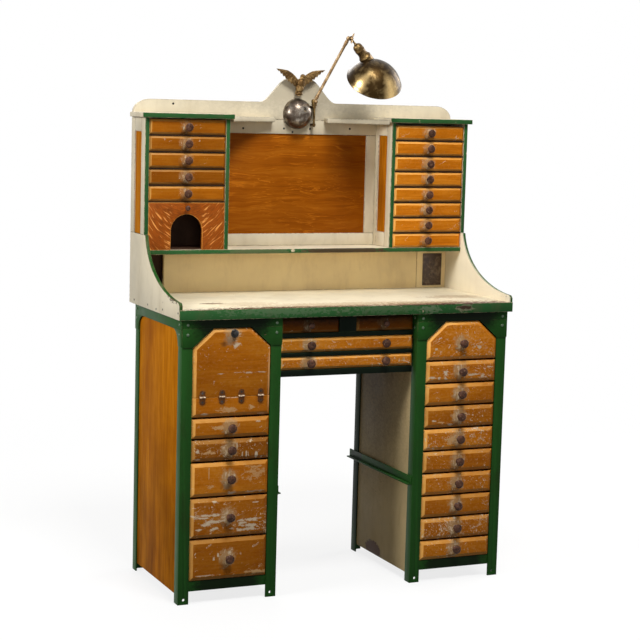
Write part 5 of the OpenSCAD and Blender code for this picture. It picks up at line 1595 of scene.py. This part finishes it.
@dataclass(frozen=True)
class Lamp:
    """Swing-arm lamp on the crest: canopy, swivel, arm, socket, shade and bulb.

    Attributes:
        canopy: middle of the canopy's back.
        pivot: middle of the arm's lower pivot.
        arm: length, azimuth and slope of the arm.
        head: length, azimuth and slope of the socket.
        bowl: radius of the shade's sphere, and the way from its neck to its middle.
        opening: azimuth and slope that the shade looks to.
        bowl_height: height of the shade.
    """

    canopy: Point = (-5.0, 252.5, 1597.0)
    pivot: Point = (51.0, 229.5, 1642.0)
    arm: Point = (268.0, -67.0, 55.0)
    head: Point = (97.0, 10.0, -45.0)
    bowl: Point = (102.0, 1.0, -76.0)
    opening: Pair = (84.0, -50.0)
    bowl_height: float = 70.0

    def build(self) -> None:
        """Makes every piece of the lamp."""
        self.wall_canopy()
        refined("lamp_swivel", Finish.LAMP_BRASS, "antique_brass", 0.4, "lamp_swivel")
        self.arm_piece()
        self.socket_piece()
        self.shade_piece()
        self.bulb_piece()

    @property
    def elbow(self) -> Vector:
        """Middle of the arm's upper pivot."""
        return Vector(self.pivot) + self.arm[0] * heading(*self.arm[1:])

    @property
    def pin(self) -> Vector:
        """Direction of the elbow's pin."""
        return heading(self.head[1] - 90, 0)

    @property
    def eye(self) -> Vector:
        """Middle of the socket's eye on the elbow's pin."""
        return self.elbow + 15 * self.pin

    @property
    def axis(self) -> Vector:
        """Direction of the socket."""
        return heading(*self.head[1:])

    @property
    def neck(self) -> Vector:
        """Place where the socket meets the shade."""
        return self.eye + self.head[0] * self.axis

    @property
    def middle(self) -> Vector:
        """Middle of the bowl's sphere."""
        return self.neck + self.bowl[0] * heading(*self.bowl[1:])

    def wall_canopy(self) -> None:
        """Domed canopy with a rolled rim, and the swivel's two lugs."""
        r, depth = 54.0, 50.0
        rim = [(r - 2, 0.2), (r, 0.2), (r + 0.6, 1.2), (r, 2.4)]
        outer = arc(0.995 * r, range(4, 90, 5), (0, 3), depth - 3)
        inner = [(0.96 * x, 0.95 * h - 0.5) for x, h in reversed(outer)]
        profile = [*rim, *outer, (0, depth), (0, depth - 2), *inner]
        form = Form("lamp_canopy_dome").turned(profile, moved(*self.canopy) @ FORWARD, 72, True)
        form.show(Finish.NICKEL, ROOT, "nickel", ["lamp_canopy"])
        refined("lamp_canopy", Finish.CAST_BRASS, "antique_brass", 0.6, name="lamp_canopy_lugs", most=60)

    def arm_piece(self) -> None:
        """Arm tube with its lower eye, elbow ball, pin and wing nut."""
        form = Form("lamp_arm_tube")
        length, azimuth, slope = self.arm
        across = heading(azimuth + 90, 0)
        form.rod(Vector(self.pivot) - 4.2 * across, across, 8, 8.4, 32)
        lower = [(0, 2), (3.7, 2), (3.7, 11), (6.3, 12), (6.6, 14), (6.6, 22), (5.9, 24), (5.4, 26)]
        upper = ((5.2, 34), (5.4, 28), (6.2, 26), (6.6, 22), (6.6, 12), (5.6, 9), (4.4, 4), (0, 4))
        tube = lower + [(r, length - below) for r, below in upper]
        form.turned(tube, aimed(self.pivot, heading(azimuth, slope)), 32)
        form.ball(self.elbow, (8, 8, 8))
        form.rod(self.elbow, self.pin, 3, 26.5)
        form.rod(self.elbow, self.pin, 5.4, 11.1)
        self.wing_nut(form)
        form.show(Finish.ARM_BRASS, "lamp_arm", "antique_brass", ["lamp_arm"])

    def wing_nut(self, form: Form) -> None:
        """Wing nut on the elbow's pin, its ears upright."""
        along, ear_up, ear_along = 18.9, 10.4, 4.4
        nut = self.elbow + along * self.pin
        form.turned([(0, 0), (5, 0), (5.4, 1), (4.6, 5.4), (3.6, 7), (0, 7)], aimed(nut, self.pin), 24)
        up = Vector((0.3, 0, 1))
        up = (up - up.dot(self.pin) * self.pin).normalized()
        upright = Matrix((up, self.pin.cross(up), self.pin)).transposed().to_4x4()
        for side in BOTH:
            middle = nut + ear_along * self.pin + ear_up * side * up
            form.ball(middle, (8.8, 1.6, 5.2), upright @ turned_by(-28 * side, "Y"), 16)

    def socket_piece(self) -> None:
        """Socket shell with a flared fitter that ends on the bowl."""
        end = self.head[0] + 20
        stem = [(0, 5), (3.4, 5), (3.4, 24), (4.8, 25.5), (5.2, 28)]
        cap = [(8.5, 29.6), (11.6, 31.6), (14.6, 35.5), (16.4, 40), (17, 45), (17, 52)]
        shell = [(17.6, 53), (17.6, 56), (17, 57), (16.4, 66), (16.2, 71), (17.2, 76), (19.6, 81)]
        fitter = [(22, 84), (22.6, 86), (22, 88), (22, end), (20.5, end), (20.5, 86)]
        profile = stem + cap + shell + fitter + [(13, 73), (13, 47), (0, 47)]
        form = Form("lamp_socket_shell").turned(profile, aimed(self.eye, self.axis), 64)
        bowl, radius = self.middle * MM, (self.bowl[0] + 0.2) * MM
        for vert in form.mesh.verts:
            away = vert.co - bowl
            if away.length < radius:
                lean = away.dot(self.axis)
                vert.co -= self.axis * (lean + math.sqrt(lean * lean - away.length_squared + radius * radius))
        form.rod(self.eye - 3.5 * self.pin, self.pin, 8, 7, 32)
        form.show(Finish.LAMP_BRASS, "lamp_head", "antique_brass", ["lamp_socket"])

    def shade_piece(self) -> None:
        """Spun bowl with a rolled rim."""
        radius, steps = self.bowl[0], 26
        last = math.degrees(math.acos((radius - self.bowl_height) / radius))
        outer = arc(radius, [last * i / steps - 90 for i in range(steps + 1)])
        inner = [(x * (1 - 1 / radius), h * (1 - 1 / radius)) for x, h in outer]
        roll = arc(1.5, range(-60, 211, 30), (outer[-1][0] - 0.2, outer[-1][1] - 0.6))
        place = aimed(self.middle, heading(*self.opening))
        form = Form("lamp_shade_bowl").turned([*outer[:-1], *roll, *reversed(inner[:-1])], place, 128)
        piece = form.show(Finish.SHADE_BRASS, "lamp_head", "antique_brass", ["lamp_shade"], 50.0)
        back = place.inverted()

        def round_axis(corner: Vector, middle: Vector) -> Pair:
            """Turn round the bowl's axis, from 0 to 1, and the height along it."""
            here, face = back @ corner, back @ middle
            turn = math.atan2(here.y, here.x) / (2 * math.pi)
            near = math.atan2(face.y, face.x) / (2 * math.pi)
            return turn + round(near - turn), here.z / MM / radius

        set_map(piece, "spin", round_axis)

    def bulb_piece(self) -> None:
        """Bulb on the socket's axis, and its brass screw base."""
        place = aimed(self.neck - 4 * self.axis, self.axis)
        globe = arc(23, range(-50, 83, 8), (0, 41))
        profile = [(0, 1), (12.4, 1), (12.6, 9), (13.2, 16), *globe, (0, 64)]
        glass = Form("lamp_bulb_glass").turned(profile, place)
        glass.show(Finish.BULB, "lamp_head", "bulb_glass", ["lamp_bulb"])
        thread = [(0, -34), (7, -34), (9, -31)]
        for turn in range(6):
            thread += [(r, h + 4.6 * turn) for r, h in ((12.4, -29), (12.4, -27.4), (11.4, -26.2))]
        base = Form("lamp_bulb_base").turned([*thread, (12.5, -1), (12.5, 0.9), (0, 0.9)], place, 40)
        base.show(Finish.LAMP_BRASS, "lamp_head", "antique_brass")


@dataclass(frozen=True)
class Bird:
    """Small cast bird with raised wings on a stud above the canopy; foot is the underside of its base."""

    foot: Point = (-5.0, 238.5, 1660.0)

    def build(self) -> None:
        """Makes the bird."""
        x, y, z = self.foot
        form = Form("bird_casting")
        form.rod((x, y, z + 8), (0, 1, 0), 3, 13.9)
        form.ball((x, y, z + 8), (12.5, 10, 8))
        stud = [(0, 0), (9, 0), (9.6, 1.2), (8.4, 2.6), (5.2, 4.2), (4.4, 7), (0, 7)]
        form.turned(stud, moved(x, y, z), 32)
        for (across, back, up), size, lean in (
            ((1, -1, 27), (15, 11, 17), 6), ((4, -3, 45), (14.5, 12, 17), 12),
            ((8, -5, 61), (9, 8.4, 10), 18), ((10, -6, 69), (9.2, 8, 7.6), 0),
        ):
            form.ball((x + across, y + back, z + up), size, turned_by(lean, "Y"))
        beak = [(0, 0), (3.2, 0), (2.8, 3), (1.7, 6), (0.6, 8.4), (0, 9)]
        form.turned(beak, aimed((x + 15, y - 8, z + 68), (0.8, -0.35, -0.5)), 16)
        tail = [(-13, 3), (-5, 0), (0, 1.4), (5, 0), (13, 3), (9, 24), (-9, 24)]
        form.slab(tail, -1.6, 1.6, moved(x - 2, y + 2, z + 2) @ FORWARD)
        for side in BOTH:
            self.leg(form, side)
            self.wing(form, side)
        form.soften(0.5, 2, 50).show(Finish.CAST_BRASS, ROOT, "antique_brass", ["bird_finial"], 45.0)

    def leg(self, form: Form, side: int) -> None:
        """One leg, with the claws that hold the ball."""
        x, y, z = self.foot
        form.rod((x + 4.5 * side, y - 1, z + 11), (0.05 * side, 0, 1), 2.2, 14, 12)
        for turn in (-30, 0, 30):
            form.rod((x + 4.5 * side, y - 1, z + 12.5), heading(turn - 90, -38), 1.1, 8, 10)

    def wing(self, form: Form, side: int) -> None:
        """One wing: blade with feather tips, and the raised shafts of the feathers."""
        lead = [(4, 40), (9, 55), (20, 68), (33, 78), (47, 85.5), (62, 88.5), (78, 90.5), (93, 92)]
        tips = [(84, 84), (75, 75), (65, 66), (54, 57), (43.5, 48.5), (33, 41), (21, 34.5)]
        dips = [(81, 87), (71.5, 79.5), (61, 71), (50, 62.5), (40, 54), (29, 45.5), (12, 31)]
        roots = ((58, 86), (50, 84), (42, 80), (33, 75), (24, 68), (16, 60), (10, 52))
        trail = [point for pair in zip(tips, dips) for point in pair]
        place = moved(*self.foot) @ Matrix.Diagonal((side, 1, 1, 1)) @ turned_by(-7, "Z") @ FORWARD
        form.slab([*lead, *trail], -1.7, 1.7, place)
        for (ax, az), (bx, bz) in zip(lead, lead[1:]):
            along = Vector((bx - ax, bz - az, 0))
            radii = 3.2 * (1 - ax / 130), 3.2 * (1 - bx / 130)
            form.cone(place @ aimed(((ax + bx) / 2, (az + bz) / 2, 0), along), radii, along.length + 1, 10)
        for (rx, rz), (tx, tz) in zip(roots, tips):
            along = Vector((tx - rx, tz - rz, 0))
            for face in BOTH:
                shaft = aimed((rx + along.x / 2, rz + along.y / 2, 1.6 * face), along)
                form.cone(place @ shaft, (1.5, 0.4), along.length * 0.92, 8)


# Studio


@dataclass(frozen=True)
class Studio:
    """Camera at the photograph's angle, plain soft light and a pale floor.

    Attributes:
        eye: place of the camera.
        yaw, pitch, roll: its turn from +Y towards +X, its lean down and its lean aside, in radians.
        lens: focal length in millimetres.
        lights: name, place, target, size in metres and power of each lamp.
        world: strength of the even light.
        near_floor: brightness of the floor under the bench, as the camera sees it.
        floor_return: share of light that the floor sends back up.
    """

    eye: Point = (-2441.3, -5449.8, 1649.2)
    yaw: float = 0.4201141
    pitch: float = 0.1259985
    roll: float = 0.0275072
    lens: float = 97.86
    lights: tuple[tuple[str, Point, Point, float, float], ...] = (
        ("overhead_light", (-200, -2100, 4700), (0, -100, 900), 1.3, 168.0),
        ("left_light", (-4300, -700, 2600), (-400, 0, 900), 1.4, 138.0),
        ("front_light", (-1500, -5200, 1900), (0, 0, 900), 2.4, 30.0),
        ("right_light", (4200, 900, 2700), (400, 0, 900), 2.0, 120.0),
        ("rear_light", (600, 4300, 3400), (0, 0, 1000), 2.4, 110.0),
    )
    world: float = 0.05
    near_floor: float = 0.8
    floor_return: float = 0.12

    def build(self) -> None:
        """Makes the camera, the lamps, the world and the floor."""
        self.camera()
        for name, place, target, size, power in self.lights:
            data = bpy.data.lights.new(name, "AREA")
            data.size = size
            data.energy = power
            towards = (Vector(target) - Vector(place)).to_track_quat("-Z", "Y")
            linked(name, data, moved(*place) @ towards.to_matrix().to_4x4())
        self.surroundings()
        self.floor()

    def camera(self) -> None:
        """The camera, looking along the photograph's direction."""
        forward = Vector((math.sin(self.yaw), math.cos(self.yaw), 0))
        right = Vector((math.cos(self.yaw), -math.sin(self.yaw), 0))
        up = Vector((0, 0, 1))
        look = forward * math.cos(self.pitch) - up * math.sin(self.pitch)
        rise = up * math.cos(self.pitch) + forward * math.sin(self.pitch)
        aside = right * math.cos(self.roll) + rise * math.sin(self.roll)
        top = rise * math.cos(self.roll) - right * math.sin(self.roll)
        data = bpy.data.cameras.new("camera")
        data.sensor_width = 36.0
        data.lens = self.lens
        data.clip_end = 60.0
        turn = Matrix((aside, top, -look)).transposed().to_4x4()
        bpy.context.scene.camera = linked("camera", data, moved(*self.eye) @ turn)

    def seen(self, s: Nodes) -> Signal:
        """One where a ray comes from the camera, or from a mirror or glass, and otherwise zero."""
        total = s.made("LightPath", {}, "Is Camera Ray")
        for name in ("Is Glossy Ray", "Is Transmission Ray"):
            total = s.math("MAXIMUM", total, s.made("LightPath", {}, name))
        return total

    def surroundings(self) -> None:
        """Even pale light all round, seen as white."""
        world = bpy.data.worlds.new("studio")
        bpy.context.scene.world = world
        world.use_nodes = True
        s = Nodes(world.node_tree)
        soft = s.made("Background", {"Color": (1.0, 0.985, 0.96), "Strength": self.world})
        white = s.made("Background", {"Color": (1.0, 1.0, 1.0)})
        s.node("OutputWorld", {"Surface": s.made("MixShader", {0: self.seen(s), 1: soft, 2: white})})

    def floor(self) -> None:
        """Pale floor that keeps the bench's shadow and sends little light back up."""
        plane = bmesh.new()
        bmesh.ops.create_grid(plane, x_segments=1, y_segments=1, size=30.0)
        mesh = bpy.data.meshes.new("floor")
        plane.to_mesh(mesh)
        plane.free()
        material = bpy.data.materials.new("floor_white")
        material.use_nodes = True
        s = Nodes(material.node_tree)
        tint = s.mix(self.seen(s), (self.floor_return,) * 3, (0.86, 0.86, 0.85))
        matt = s.made("BsdfDiffuse", {"Color": tint})
        glow = s.made("Emission", {"Color": (1.0, 1.0, 1.0), "Strength": 1.0})
        far = s.vector("LENGTH", {0: s.made("TexCoord", {}, "Object")}, "Value")
        share = self.seen(s) * s.step(far, 1.0, 3.5, self.near_floor)
        s.node("OutputMaterial", {"Surface": s.made("MixShader", {0: share, 1: matt, 2: glow})})
        mesh.materials.append(material)
        linked("floor", mesh)


def main() -> None:
    """Builds the workbench and its studio."""
    logging.basicConfig(level=logging.INFO, format="%(message)s")
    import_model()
    Studio().build()
    for part in (Desk(), Pedestals(), KneeUnit(), Hutch(), Lamp(), Bird()):
        LOG.info("building %s", type(part).__name__)
        part.build()
    bpy.context.scene.view_settings.view_transform = "Standard"
    bpy.context.view_layer.update()


if __name__ == "__main__":
    main()
